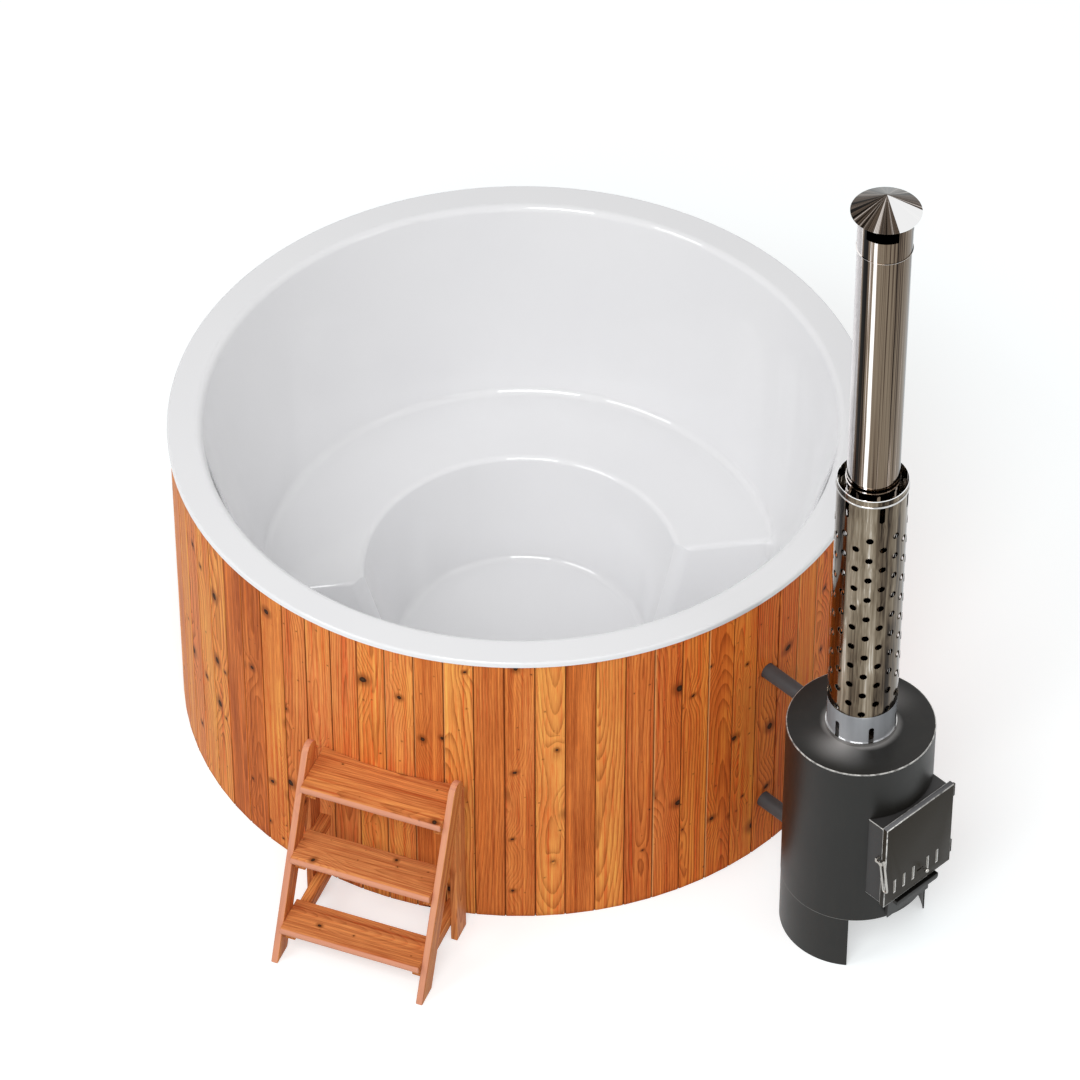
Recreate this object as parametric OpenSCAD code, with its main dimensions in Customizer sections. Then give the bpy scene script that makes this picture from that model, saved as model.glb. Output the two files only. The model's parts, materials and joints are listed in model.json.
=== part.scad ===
// Round wooden hot tub with a moulded basin, an outside wood stove and a set of steps.
// The tub's axis is the Z axis and the ground is z = 0. The stove stands on the +X side.

/* [Tub] */
// Outside diameter over the rim
tub_d = 2000; // [1900:10:2200]
// Height of the rim above the ground
tub_h = 1010; // [960:5:1100]
// How far the rim stands out past the wooden wall
rim_overhang = 8; // [6:0.5:14]
// Height of the rim's turned-down lip
rim_lip_h = 17; // [12:1:40]
// Thickness of the rim's lip
rim_lip_t = 5; // [3:0.5:5]
// Width of the rim, from its outer edge to the bowl
rim_w = 97; // [92:1:110]
// Rounding of the rim's inner edge
rim_inner_round = 22; // [10:1:30]
// Rounding of the rim's outer edge
rim_outer_round = 6; // [2:0.5:8]
// Thickness of the moulded basin
shell_t = 8; // [6:0.5:10]

/* [Seat and footwell] */
// Height of the seat above the ground
seat_z = 420; // [380:5:460]
// Height of the footwell's floor above the ground
floor_z = 103; // [95:1:130]
// Slope of the bowl's wall, away from the vertical
wall_slope = 15; // [10:0.5:17]
// Radius of the seat's inner edge
seat_in_r = 458; // [420:2:480]
// Slope of the footwell's wall below the seat
well_slope = 17; // [10:0.5:20]
// Direction in which the half-ring seat starts, turning towards +Y
seat_turn = 54.6; // [50:0.2:60]
// Rounding of the seat's front edge
seat_edge_round = 18; // [8:1:25]
// Rounding between the seat and the wall
seat_wall_round = 26; // [15:1:40]
// Rounding around the floor
floor_round = 24; // [20:1:60]
// Rounding, seen from above, of the seat's ends where they meet the footwell
end_round = 50; // [30:1:60]

/* [Wooden wall] */
// Number of upright boards around the wall
stave_count = 74; // [68:2:80]
// Thickness of the wall's boards
stave_t = 28; // [22:1:34]
// Bevel on the outer edges of each board
stave_bevel = 3; // [1:0.5:5]
// Gap between neighbouring boards
stave_gap = 0.4; // [0.3:0.1:0.9]
// Number of pieces in each support ring
ring_pieces = 12; // [8:1:16]
// Height of a support ring
ring_h = 36; // [28:1:45]
// Radial width of a support ring
ring_w = 46; // [36:1:50]
// Height of the middle ring's underside
middle_ring_z = 484; // [440:2:520]
// Number of studs around the wall
stud_count = 8; // [6:2:12]
// Side of the square timber used for studs, joists and posts
timber_w = 45; // [38:1:50]
// Distance between joists
joist_pitch = 235; // [225:1:245]

/* [Drain] */
// Distance of the drain from the tub's axis, along +Y
drain_y = -115; // [-130:1:-100]
// Height of the drain pipe's axis
drain_z = 45; // [42:1:50]
// Outside radius of the drain pipe
drain_pipe_r = 25; // [22:0.5:26]
// Wall of the drain pipe
drain_pipe_t = 2.4; // [1.5:0.1:3]
// Outside radius of the valve's body
valve_r = 33; // [30:0.5:36]
// Length of the valve's body
valve_l = 74; // [70:1:90]
// Radius of the valve's ball
ball_r = 24; // [22:0.5:26]
// Radius of the way through the ball and the outlet
outlet_bore_r = 18; // [14:0.5:19]
// Outside radius of the outlet's hose tail
outlet_r = 24; // [22:0.5:27]
// Length of the outlet's hose tail
outlet_l = 42; // [30:1:60]
// Length of the drain valve's lever
lever_l = 105; // [90:1:130]

/* [Water pipes] */
// Outside radius of the two water pipes
pipe_r = 22.5; // [20:0.25:24]
// Wall of the water pipes
pipe_t = 2.6; // [2:0.1:4]
// Drop from the stove's top down to the upper pipe's axis
supply_drop = 60; // [54:1:100]
// Height of the lower pipe's axis
return_z = 192; // [191:0.5:200]
// Radius of the flat pads moulded on the basin for the fittings
pad_r = 46; // [44:0.5:50]
// Wall of the through fittings' barrels
fitting_t = 4; // [3:0.25:5]
// Thickness of the fittings' flanges
flange_t = 6; // [4:0.5:8]
// Thickness of the fittings' nuts
nut_t = 14; // [10:0.5:18]

/* [Stove] */
// Outside radius of the stove's body
stove_r = 206; // [200:1:215]
// Clear gap between the wooden wall and the stove
stove_gap = 153; // [130:1:200]
// Height of the stove's lid above the ground
stove_h = 763; // [755:1:800]
// Height of the leg ring that carries the body
skirt_h = 185; // [183:0.5:189]
// Half angle of the leg ring's front opening
skirt_opening = 50; // [40:1:60]
// Thickness of the stove's steel sheet
steel_t = 4; // [3:0.25:5]
// Thickness of the lid
lid_t = 5; // [4:0.5:7]
// Outside radius of the firebox
firebox_r = 148; // [144:1:150]
// Drop from the stove's top down to the firebox's top plate
crown_drop = 73; // [63:1:93]
// Height of the grate's upper face
grate_z = 302; // [298:1:303]
// Thickness of the grate
grate_t = 10; // [8:1:12]

/* [Fire door] */
// Width of the door
door_w = 264; // [262:1:270]
// Height of the door
door_h = 303; // [300:1:308]
// Height of the door's lower edge above the ground
door_z = 298; // [297:0.5:299]
// Distance of the door's face from the stove's axis
door_x = 237; // [234:1:245]
// Depth of the door, face and folded rim together
door_t = 18; // [16:0.5:20]
// Thickness of the door's sheet
door_sheet_t = 4; // [3:0.25:4.5]
// Width of the neck behind the door
neck_w = 254; // [250:1:256]
// Height of the neck behind the door
neck_h = 290; // [286:1:292]
// Height of the neck's underside above the ground
neck_z = 300; // [299.5:0.5:301]
// Radius of the hinge pins
hinge_pin_r = 3.5; // [3:0.25:4]
// Distance of the hinge axis beyond the door's edge
hinge_out = 6; // [5.5:0.25:7]
// Height of the upper hinge
hinge_top_z = 566; // [540:1:580]
// Height of the lower hinge
hinge_low_z = 344; // [330:1:380]

/* [Air slide] */
// Width of one air slot
slot_w = 10; // [8:0.5:11]
// Height of the air slots
slot_h = 52; // [44:1:56]
// Height of the air slots' lower ends
slot_z = 328; // [326:1:334]
// Distance between neighbouring air slots
slot_pitch = 37; // [34:0.5:38]
// Place of the first air slot across the door
slot_first_y = -91; // [-92:0.5:-88]
// Place of the first slot beyond the knob
slot_second_y = 40; // [38:0.5:42]
// Travel of the air slide
slide_travel = 19; // [17:0.5:20]
// Thickness of the air slide
slide_t = 2; // [1.5:0.25:2.5]
// Radius of the knob's ball
knob_r = 6.5; // [5:0.5:8]
// Length of the knob, from the door's face to the ball's centre
knob_l = 17; // [14:0.5:22]

/* [Latch] */
// Height of the latch's pivot
latch_z = 475; // [460:1:490]
// Radius of the latch's pivot pin
latch_pin_r = 4; // [3:0.25:5]
// Length of the latch's hanging loop
loop_l = 106; // [90:1:120]
// Width of the latch's loop
loop_w = 22; // [18:0.5:26]
// Radius of the loop's rod
loop_rod_r = 3.2; // [2.5:0.1:4]
// Lean of the hanging loop, away from the stove
loop_lean = 9; // [4:0.5:12]

/* [Ash drawer] */
// Width of the ash drawer's front
drawer_w = 164; // [160:1:168]
// Height of the ash drawer's lower edge above the ground
drawer_z = 198; // [197.5:0.5:199]
// Height of the ash drawer's front
drawer_h = 88; // [80:1:92]
// Width of the duct that the drawer runs in
duct_w = 150; // [140:1:154]
// Height of the duct that the drawer runs in
duct_h = 96; // [93:1:98]
// How far the drawer's pull stands out
pull_depth = 34; // [26:1:40]
// Height of the drawer's pull
pull_h = 19; // [15:1:24]
// Thickness of the drawer's sheet
drawer_t = 2.5; // [2:0.25:3]

/* [Chimney] */
// Outside radius of the flue pipe
flue_r = 71; // [68:0.5:73]
// Wall of the flue pipe
flue_t = 1.5; // [1:0.1:2]
// Height of the joint between the two flue pipes above the stove's top
flue_joint_up = 920; // [916:1:937]
// Height of the cowl's lower edge above the stove's top
cowl_up = 1718; // [1677:1:1737]
// Height of the cowl's windows above the stove's top
window_up = 1786; // [1777:1:1793]
// Height of the cowl's windows
window_h = 44; // [36:1:48]
// Angle taken by one window
window_angle = 71; // [60:1:80]
// Direction of the first window
window_turn = -53; // [-60:1:-45]
// Height of the cap's lower edge above the stove's top
cap_up = 1837; // [1832:1:1857]
// Radius of the cap
cap_r = 92; // [86:0.5:100]
// Rise of the cap's cone
cap_rise = 52; // [44:1:60]

/* [Heat guard] */
// Outside radius of the perforated guard
guard_r = 96; // [92:0.5:98]
// Wall of the guard
guard_t = 1.2; // [1:0.1:1.5]
// Height of the guard's upper edge above the stove's top
guard_h = 915; // [897:1:915]
// Radius of the guard's round holes
guard_hole_r = 10.5; // [8:0.25:12]
// Direction of one column of holes
guard_turn = -3; // [-10:0.5:10]
// Distance between holes in one column
guard_pitch = 72; // [66:0.5:76]
// Height of the lowest hole's centre above the stove's top
guard_first_up = 123; // [117:1:137]
// Holes in the taller columns
guard_rows = 10; // [8:1:10]
// Columns of holes around the guard
guard_columns = 16; // [12:2:20]
// Width of the slots at both ends of the guard
guard_slot_w = 15; // [12:0.5:18]
// Height of the slots at both ends of the guard
guard_slot_h = 55; // [48:1:58]
// Distance of the guard's bead below its upper edge
bead_drop = 22; // [18:1:28]

/* [Steps] */
// Direction in which the steps stand
steps_turn = -65; // [-75:0.5:-60]
// Gap between the wooden wall and the steps
steps_gap = 18; // [10:1:40]
// Width of the steps over the side boards
steps_w = 457; // [420:1:520]
// Depth of the steps on the ground
steps_run = 332; // [320:1:350]
// Lean of the side boards, away from the vertical
steps_lean = 23.6; // [21:0.1:25]
// Thickness of the side boards
side_t = 20; // [18:0.5:26]
// Width of the sloping side boards
side_w = 66; // [60:1:72]
// Length of the sloping side boards
side_l = 674; // [660:1:690]
// Rounding of the side boards' upper ends
side_round = 30; // [20:1:31]
// Depth of the upright posts
post_w = 68; // [60:1:72]
// Thickness of the treads
tread_t = 28; // [24:1:32]
// Depth of the two lower treads
tread_w = 124; // [110:1:130]
// How far the treads stand out past the side boards
tread_nose = 30; // [20:1:34]
// Height of the lowest tread above the ground
tread_low_z = 122; // [115:1:130]
// Height from one tread to the next
tread_rise = 199; // [190:1:205]
// Width of the bearers under the treads
bearer_w = 32; // [28:1:36]
// Height of the bearers under the treads
bearer_h = 40; // [34:1:44]

/* [Fits] */
// Gap left between neighbouring curved faces
seat_gap = 0.3; // [0.2:0.05:0.4]
// Radial clearance of a turning or sliding fit
run_gap = 0.05; // [0.03:0.01:0.08]
// Clearance beside a sliding drawer or plate
slide_gap = 0.5; // [0.4:0.1:0.8]
// Clearance around a pipe where it passes through wood
wood_gap = 1.5; // [1:0.25:3]

/* [Hidden] */
$fn = 96;

// How far a cutting shape runs past the face it cuts
past = 1;

// Tub
tub_r = tub_d / 2;
wall_r = tub_r - rim_overhang;
mouth_r = tub_r - rim_w;
stave_in_r = wall_r - stave_t;
ring_out_r = stave_in_r - seat_gap;
ring_in_r = ring_out_r - ring_w;
flange_under_z = tub_h - shell_t;
floor_under_z = floor_z - shell_t;
top_ring_z = flange_under_z - ring_h;
stave_step = 360 / stave_count;
wall_corner_r = wall_r / cos(stave_step / 2);
stud_out_x = sqrt(pow(ring_out_r, 2) - pow(timber_w / 2, 2));

// Heights measured from the stove's top
supply_z = stove_h - supply_drop;
firebox_top_z = stove_h - crown_drop;
flue_joint_z = stove_h + flue_joint_up;
cowl_z = stove_h + cowl_up;
window_z = stove_h + window_up;
cap_z = stove_h + cap_up;
guard_top_z = stove_h + guard_h;
guard_first_z = stove_h + guard_first_up;

// Drain
valve_start = -(wall_r + 9);
valve_mid = valve_start - valve_l / 2;
valve_end = valve_start - valve_l;
sump_r = drain_pipe_r + 9;
sump_t = 4;
barrel_r = drain_pipe_r + 2;
// How far the flange's barrel reaches below the basin, and the grate's seat beside its bore
barrel_down = 26;
barrel_t = 4;
grate_seat_w = 7;
drain_flange_w = 19;
drain_flange_t = 4;
sump_floor_z = drain_z - drain_pipe_r - 9;
sump_floor_t = 4;
stem_r = 6;
bonnet_r = 13;
bonnet_top_z = drain_z + valve_r + 12;
ball_flat_z = drain_z + ball_r - 3;
lever_t = 4;
lever_w = 16;
socket_l = 12;

// Stove, in a frame whose axis is the stove's own
stove_x = wall_r + stove_gap + stove_r;
body_in_r = stove_r - steel_t;
firebox_in_r = firebox_r - steel_t;
lid_under_z = stove_h - lid_t;
jacket_floor_z = return_z + pipe_r + 12;
elbow_x = -(firebox_r + body_in_r) / 2;
ledge_w = 14;
ledge_t = 5;

// Door, neck and slide
door_back_x = door_x - door_t;
neck_front_x = door_back_x - 1.5;
door_in_x = door_x - door_sheet_t;
hinge_x = door_x - door_t / 2;
hinge_y = door_w / 2 + hinge_out;
knuckle_r = hinge_out - slide_gap;
knuckle_l = 24;
eye_l = 18;
pin_head_t = 1.5;
slide_in_x = door_in_x - slide_gap;
rail_w = 6;
rail_t = 3;
slot_places = concat([for (i = [0:2]) slot_first_y + i * slot_pitch],
                     [for (i = [0:1]) slot_second_y + i * slot_pitch]);
knob_y = slot_second_y - slot_w - 11;
knob_z = slot_z + slot_h / 2 - 3;
knob_stem_r = 2.5;
guide_r = knob_stem_r + slide_gap;
latch_x = door_x - door_t / 2;
latch_y = -door_w / 2;
hub_r = 8;
hub_w = 10;
keeper_r = 4;
keeper_back = 20;
keeper_up = 2;

// Ash drawer
duct_t = 2.5;
duct_z = drawer_z - 1;
firebox_floor_z = duct_z - seat_gap - steel_t;
duct_front_x = stove_r - past;
drawer_front_x = duct_front_x + seat_gap;
tray_w = duct_w - 2 * duct_t - 2 * slide_gap;
tray_z = duct_z + duct_t + seat_gap;
tray_h = duct_h - 2 * duct_t - 6;
tray_l = 290;
pull_out_x = drawer_front_x + drawer_t + pull_depth;
pull_z = drawer_z + drawer_h - pull_h;

// Chimney
flue_in_r = flue_r - flue_t;
sleeve_r = flue_r + seat_gap;
cap_slope = cap_rise / cap_r;
cap_t = 1.4;
cap_edge = 2;
guard_in_r = guard_r - guard_t;
bead_z = guard_top_z - bead_drop;
base_ring_h = 13;

// Steps, in a frame whose X axis points away from the tub
steps_back = wall_r + steps_gap;
steps_front = steps_back + steps_run;
side_foot_w = side_w / cos(steps_lean);
side_in_y = steps_w / 2 - side_t;

// Bowl's wall radius at a height, inside and outside
function bowl_r(z) = mouth_r - (tub_h - z) * tan(wall_slope);
function bowl_out_r(z) = bowl_r(z) + shell_t / cos(wall_slope);
// Place of the seat's end face at a height, in the seat's own frame
function end_y(z) = -(seat_z - z) * tan(well_slope);
// Footwell's wall radius at a height, inside and outside
function well_r(z) = seat_in_r - (seat_z - z) * tan(well_slope);
function well_out_r(z) = well_r(z) + shell_t / cos(well_slope);
// Place of the steps' front edge at a height
function side_front(z) = steps_front - z * tan(steps_lean);

function unit(v) = v / norm(v);
// A corner at q between p and s, rounded to radius r
function corner(p, q, s, r, n = 6) =
    let (u = unit(p - q), v = unit(s - q), half = acos(u * v) / 2,
         c = q + unit(u + v) * r / sin(half),
         from = q + u * r / tan(half) - c, to = q + v * r / tan(half) - c,
         a = atan2(from[1], from[0]), turn = atan2(to[1], to[0]) - a,
         short = turn > 180 ? turn - 360 : turn < -180 ? turn + 360 : turn)
    [for (i = [0:n]) c + r * [cos(a + short * i / n), sin(a + short * i / n)]];
// A closed outline whose corners are rounded to the radii given beside them, 0 for sharp
function outline(points, radii) =
    let (n = len(points))
    [for (i = [0:n - 1]) each (radii[i] > 0
        ? corner(points[(i + n - 1) % n], points[i], points[(i + 1) % n], radii[i])
        : [points[i]])];

module tube(r_out, r_in, z0, z1) {
    translate([0, 0, z0]) difference() {
        cylinder(r = r_out, h = z1 - z0);
        translate([0, 0, -past]) cylinder(r = r_in, h = z1 - z0 + 2 * past);
    }
}

// A rod along +X from x0 to x1
module rod_x(r, x0, x1) {
    translate([x0, 0, 0]) rotate([0, 90, 0]) cylinder(r = r, h = x1 - x0);
}

// A rod along +Y from y0 to y1
module rod_y(r, y0, y1) {
    translate([0, y0, 0]) rotate([-90, 0, 0]) cylinder(r = r, h = y1 - y0);
}

// A box between two opposite corners
module span(low, high) {
    translate(low) cube(high - low);
}

// A flat board cut to an outline in the XZ plane, from y0 to y0 + t
module upright_board(points, y0, t) {
    translate([0, y0 + t, 0]) rotate([90, 0, 0]) linear_extrude(t) polygon(points);
}

// The frame whose X axis runs along the seat's two ends and whose +Y side is the seat's
module at_seat() {
    rotate([0, 0, seat_turn]) children();
}

// A bar along the seat frame's X axis, across the whole tub, from an outline in its YZ plane
module across_tub(points) {
    translate([-tub_r, 0, 0]) rotate([90, 0, 90]) linear_extrude(2 * tub_r) polygon(points);
}

// ---- Basin ----

// The water space above the seat and the footwell
module seat_side_space() {
    polygon(outline(
        [[0, floor_z], [well_r(floor_z), floor_z], [seat_in_r, seat_z], [bowl_r(seat_z), seat_z],
         [mouth_r, tub_h], [tub_r + past, tub_h], [tub_r + past, tub_h + past], [0, tub_h + past]],
        [0, floor_round, seat_edge_round, seat_wall_round, rim_inner_round, 0, 0, 0]));
}

// The water space on the side without a seat, cut off by the seat's leaning end faces
module open_side_space() {
    high_z = seat_z + 2 * seat_wall_round;
    intersection() {
        rotate_extrude() polygon(outline(
            [[0, floor_z], [bowl_r(floor_z), floor_z], [bowl_r(high_z), high_z], [0, high_z]],
            [0, floor_round, 0, 0]));
        across_tub(outline(
            [[seat_edge_round, seat_z], [0, seat_z], [end_y(floor_z), floor_z], [-tub_r, floor_z],
             [-tub_r, high_z], [0, high_z], [0, seat_z + past], [seat_edge_round, seat_z + past]],
            [0, seat_edge_round, floor_round, 0, 0, 0, 0, 0]));
    }
}

// What the rounding of radius r takes off a seat end's corner, down to low_z: a bar beside a
// leaning cylinder that touches the end face and the footwell's wall
module end_corner(r, low_z) {
    low_y = end_round + end_y(floor_z);
    top = [sqrt(pow(seat_in_r + end_round, 2) - pow(end_round, 2)), end_round, seat_z];
    foot = [sqrt(pow(well_r(floor_z) + end_round, 2) - pow(low_y, 2)), low_y, floor_z];
    along = unit(foot - top);
    to_end = [0, -cos(well_slope), sin(well_slope)];
    to_well = cross(along, to_end);
    start = top - along * 2 * end_round;
    reach = r + floor_round;
    for (side = [0, 1]) mirror([side, 0, 0]) intersection() {
        multmatrix([[to_end[0], to_well[0], along[0], start[0]], [to_end[1], to_well[1], along[1], start[1]],
                    [to_end[2], to_well[2], along[2], start[2]], [0, 0, 0, 1]])
            linear_extrude(norm(foot - top) + 4 * end_round) difference() {
                polygon([[0, 0], [reach, 0], [reach, reach], [reach * 0.085, reach]]);
                circle(r = r);
            }
        span([0, -tub_r, low_z], [tub_r, tub_r, seat_z + past]);
    }
}

module basin_outside() {
    rotate_extrude() polygon(outline(
        [[0, floor_under_z], [bowl_out_r(floor_under_z), floor_under_z],
         [bowl_out_r(flange_under_z), flange_under_z], [tub_r - rim_lip_t, flange_under_z],
         [tub_r - rim_lip_t, tub_h - rim_lip_h], [tub_r, tub_h - rim_lip_h], [tub_r, tub_h], [0, tub_h]],
        [0, floor_round + shell_t, 0, 0, 0, 0, rim_outer_round, 0]));
}

// The room under the moulded seat, open towards the wall's studs
module under_seat() {
    seat_under_z = seat_z - shell_t;
    low_z = floor_under_z - past;
    end_in_y = shell_t / cos(well_slope);
    difference() {
        intersection() {
            rotate_extrude() polygon(
                [[well_out_r(low_z), low_z], [well_out_r(seat_under_z), seat_under_z],
                 [tub_r, seat_under_z], [tub_r, low_z]]);
            across_tub([[end_in_y + end_y(seat_z), seat_z], [tub_r, seat_z], [tub_r, low_z - past],
                        [end_in_y + end_y(low_z - past), low_z - past]]);
        }
        end_corner(end_round * cos(well_slope) - shell_t, low_z - past);
    }
}

// Inner and outer faces of the flat pad moulded around a fitting at height z
function pad_in_x(z) = bowl_r(z - pad_r) - 4;
function pad_out_x(z) = bowl_out_r(z + pad_r) + 2;

module basin() {
    color("whitesmoke") difference() {
        union() {
            difference() {
                basin_outside();
                rotate_extrude() seat_side_space();
                at_seat() {
                    open_side_space();
                    end_corner(end_round * cos(well_slope), floor_z);
                    under_seat();
                }
            }
            for (z = [supply_z, return_z])
                translate([0, 0, z]) rod_x(pad_r, pad_in_x(z), pad_out_x(z));
        }
        for (z = [supply_z, return_z])
            translate([0, 0, z]) rod_x(pipe_r + fitting_t + 2 * seat_gap, pad_in_x(z) - past, pad_out_x(z) + past);
        translate([0, drain_y, floor_under_z - past]) cylinder(r = barrel_r + seat_gap, h = shell_t + 2 * past);
    }
}

// ---- Wooden wall and its frame ----

// One ring of butted timber pieces, its underside at z
module timber_ring(z) {
    piece_angle = 360 / ring_pieces;
    piece_gap = asin(stave_gap / ring_in_r);
    for (i = [0:ring_pieces - 1])
        rotate([0, 0, (i - 0.5) * piece_angle]) translate([0, 0, z])
            rotate_extrude(angle = piece_angle - piece_gap)
                translate([ring_in_r, 0]) square([ring_w, ring_h]);
}

module top_ring() {
    color("burlywood") timber_ring(top_ring_z);
}

module middle_ring() {
    color("burlywood") timber_ring(middle_ring_z);
}

module bottom_ring() {
    color("burlywood") difference() {
        timber_ring(0);
        translate([0, drain_y, drain_z]) rod_x(drain_pipe_r + wood_gap, -wall_r, 0);
    }
}

module wall_studs() {
    color("burlywood")
        for (i = [0:stud_count - 1], tier = [[ring_h, middle_ring_z], [middle_ring_z + ring_h, top_ring_z]])
            rotate([0, 0, (i + 0.5) * 360 / stud_count])
                span([stud_out_x - timber_w, -timber_w / 2, tier[0]], [stud_out_x, timber_w / 2, tier[1]]);
}

module floor_joists() {
    color("tan") for (i = [-2:2]) {
        far_y = abs(i) * joist_pitch + timber_w / 2;
        half_l = sqrt(pow(ring_in_r - seat_gap, 2) - pow(far_y, 2));
        span([-half_l, i * joist_pitch - timber_w / 2, 0], [half_l, i * joist_pitch + timber_w / 2, floor_under_z]);
    }
}

// Posts between the joists and the seat's underside
module seat_posts() {
    // Each joist line with the angle at which its post stands, from the seat's start
    places = [[2, 10], [2, 68], [1, 102], [-1, 149]];
    color("tan") for (p = places)
        translate([p[0] * joist_pitch / tan(seat_turn + p[1]), p[0] * joist_pitch, 0])
            span([-timber_w / 2, -timber_w / 2, floor_under_z], [timber_w / 2, timber_w / 2, seat_z - shell_t]);
}

// One upright board of the wall, bevelled along its outer edges
module stave(i) {
    half_out = wall_r * tan(stave_step / 2) - stave_gap / 2;
    half_in = stave_in_r * tan(stave_step / 2) - stave_gap / 2;
    half_bevel = (wall_r - stave_bevel) * tan(stave_step / 2) - stave_gap / 2;
    rotate([0, 0, i * stave_step]) linear_extrude(flange_under_z)
        polygon([[stave_in_r, -half_in], [wall_r - stave_bevel, -half_bevel], [wall_r, stave_bevel - half_out],
                 [wall_r, half_out - stave_bevel], [wall_r - stave_bevel, half_bevel], [stave_in_r, half_in]]);
}

// The boards on both sides of the drain pipe
drain_stave = (180 - asin(drain_y / wall_r)) / stave_step;
bored_by_drain = [floor(drain_stave), ceil(drain_stave)];

// All boards but those that a pipe passes through
module wall_staves() {
    color("peru") for (i = [1:stave_count - 1])
        if (len(search(i, bored_by_drain)) == 0) stave(i);
}

// The board that both water pipes pass through
module pipe_stave() {
    color("peru") difference() {
        stave(0);
        for (z = [supply_z, return_z])
            translate([0, 0, z]) rod_x(pipe_r + wood_gap, 0, tub_r);
    }
}

module drain_staves() {
    color("peru") difference() {
        for (i = bored_by_drain) stave(i);
        translate([0, drain_y, drain_z]) rod_x(drain_pipe_r + wood_gap, -tub_r, 0);
    }
}

// ---- Drain ----

module drain_flange() {
    color("gainsboro") translate([0, drain_y, 0]) difference() {
        union() {
            translate([0, 0, floor_z])
                cylinder(r1 = barrel_r + drain_flange_w, r2 = barrel_r + drain_flange_w - 3, h = drain_flange_t);
            translate([0, 0, floor_under_z - barrel_down]) cylinder(r = barrel_r, h = barrel_down + shell_t + past);
        }
        translate([0, 0, floor_under_z - barrel_down - past])
            cylinder(r = barrel_r - barrel_t, h = barrel_down + shell_t + drain_flange_t + 2 * past);
        translate([0, 0, floor_z + 1]) cylinder(r = barrel_r + grate_seat_w, h = drain_flange_t);
    }
}

module drain_grate() {
    grate_hole_r = 3.4;
    color("silver") translate([0, drain_y, floor_z + 1 + seat_gap]) difference() {
        cylinder(r = barrel_r + grate_seat_w - seat_gap, h = 2.4);
        for (ring = [[1, 0], [6, barrel_r * 0.37], [12, barrel_r * 0.74]], i = [0:ring[0] - 1])
            rotate([0, 0, i * 360 / ring[0]]) translate([ring[1], 0, -past]) cylinder(r = grate_hole_r, h = 5);
    }
}

module drain_sump() {
    collar_z = floor_under_z - barrel_down - past;
    color("dimgray") translate([0, drain_y, 0]) difference() {
        translate([0, 0, sump_floor_z]) cylinder(r = sump_r, h = floor_under_z - sump_floor_z - seat_gap);
        translate([0, 0, sump_floor_z + sump_floor_t])
            cylinder(r = sump_r - sump_t, h = collar_z + 3 - sump_floor_z - sump_floor_t);
        translate([0, 0, collar_z]) cylinder(r = barrel_r + seat_gap, h = barrel_down + shell_t);
        translate([0, 0, drain_z]) rod_x(drain_pipe_r + seat_gap, -sump_r - past, 0);
    }
}

module drain_pipe() {
    color("dimgray") translate([0, drain_y, drain_z]) difference() {
        rod_x(drain_pipe_r, valve_start - socket_l + 2, -sump_r + sump_t);
        rod_x(drain_pipe_r - drain_pipe_t, valve_start - socket_l + 2 - past, -sump_r + sump_t + past);
    }
}

module drain_valve_body() {
    color("goldenrod") translate([0, drain_y, drain_z]) difference() {
        union() {
            rod_x(valve_r, valve_end, valve_start);
            rod_x(outlet_r, valve_end - outlet_l, valve_end + past);
            translate([valve_mid, 0, 0]) cylinder(r = bonnet_r, h = bonnet_top_z - drain_z);
        }
        rod_x(drain_pipe_r + seat_gap, valve_start - socket_l, valve_start + past);
        rod_x(outlet_bore_r, valve_end - outlet_l - past, valve_start);
        translate([valve_mid, 0, 0]) sphere(r = ball_r + seat_gap);
        translate([valve_mid, 0, 0]) cylinder(r = stem_r + run_gap, h = bonnet_top_z - drain_z + past);
    }
}

// The ball, shut across the pipe
module drain_ball() {
    color("silver") translate([valve_mid, drain_y, drain_z]) difference() {
        sphere(r = ball_r);
        rod_y(outlet_bore_r, -ball_r - past, ball_r + past);
        translate([-ball_r, -ball_r, ball_flat_z - drain_z]) cube(2 * ball_r);
    }
}

module drain_lever() {
    lever_z = bonnet_top_z + 1;
    color("firebrick") translate([valve_mid, drain_y, 0]) {
        translate([0, 0, ball_flat_z]) cylinder(r = stem_r, h = lever_z - ball_flat_z + lever_t + 5);
        translate([0, 0, lever_z]) linear_extrude(lever_t) difference() {
            union() {
                circle(r = lever_w / 2 + 3);
                translate([-lever_w / 2, 0]) square([lever_w, lever_l - lever_w / 2]);
                translate([0, lever_l - lever_w / 2]) circle(r = lever_w / 2);
            }
            translate([0, lever_l - lever_w / 2]) circle(r = 3);
        }
    }
}

// ---- Water pipes ----

// A threaded barrel with its flange inside the basin, at height z
module through_fitting(z) {
    color("gainsboro") translate([0, 0, z]) difference() {
        union() {
            rod_x(pad_r - 4, pad_in_x(z) - flange_t, pad_in_x(z));
            rod_x(pipe_r + fitting_t + seat_gap, pad_in_x(z) - past, pad_out_x(z) + nut_t + 10);
        }
        rod_x(pipe_r + seat_gap, pad_in_x(z) - flange_t - past, pad_out_x(z) + nut_t + 10 + past);
    }
}

module supply_fitting() {
    through_fitting(supply_z);
}

module return_fitting() {
    through_fitting(return_z);
}

module fitting_nuts() {
    color("gainsboro") for (z = [supply_z, return_z])
        translate([pad_out_x(z), 0, z]) rotate([0, 90, 0]) difference() {
            cylinder(r = pad_r - 5, h = nut_t, $fn = 8);
            translate([0, 0, -past]) cylinder(r = pipe_r + fitting_t + 2 * seat_gap, h = nut_t + 2 * past);
        }
}

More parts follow.
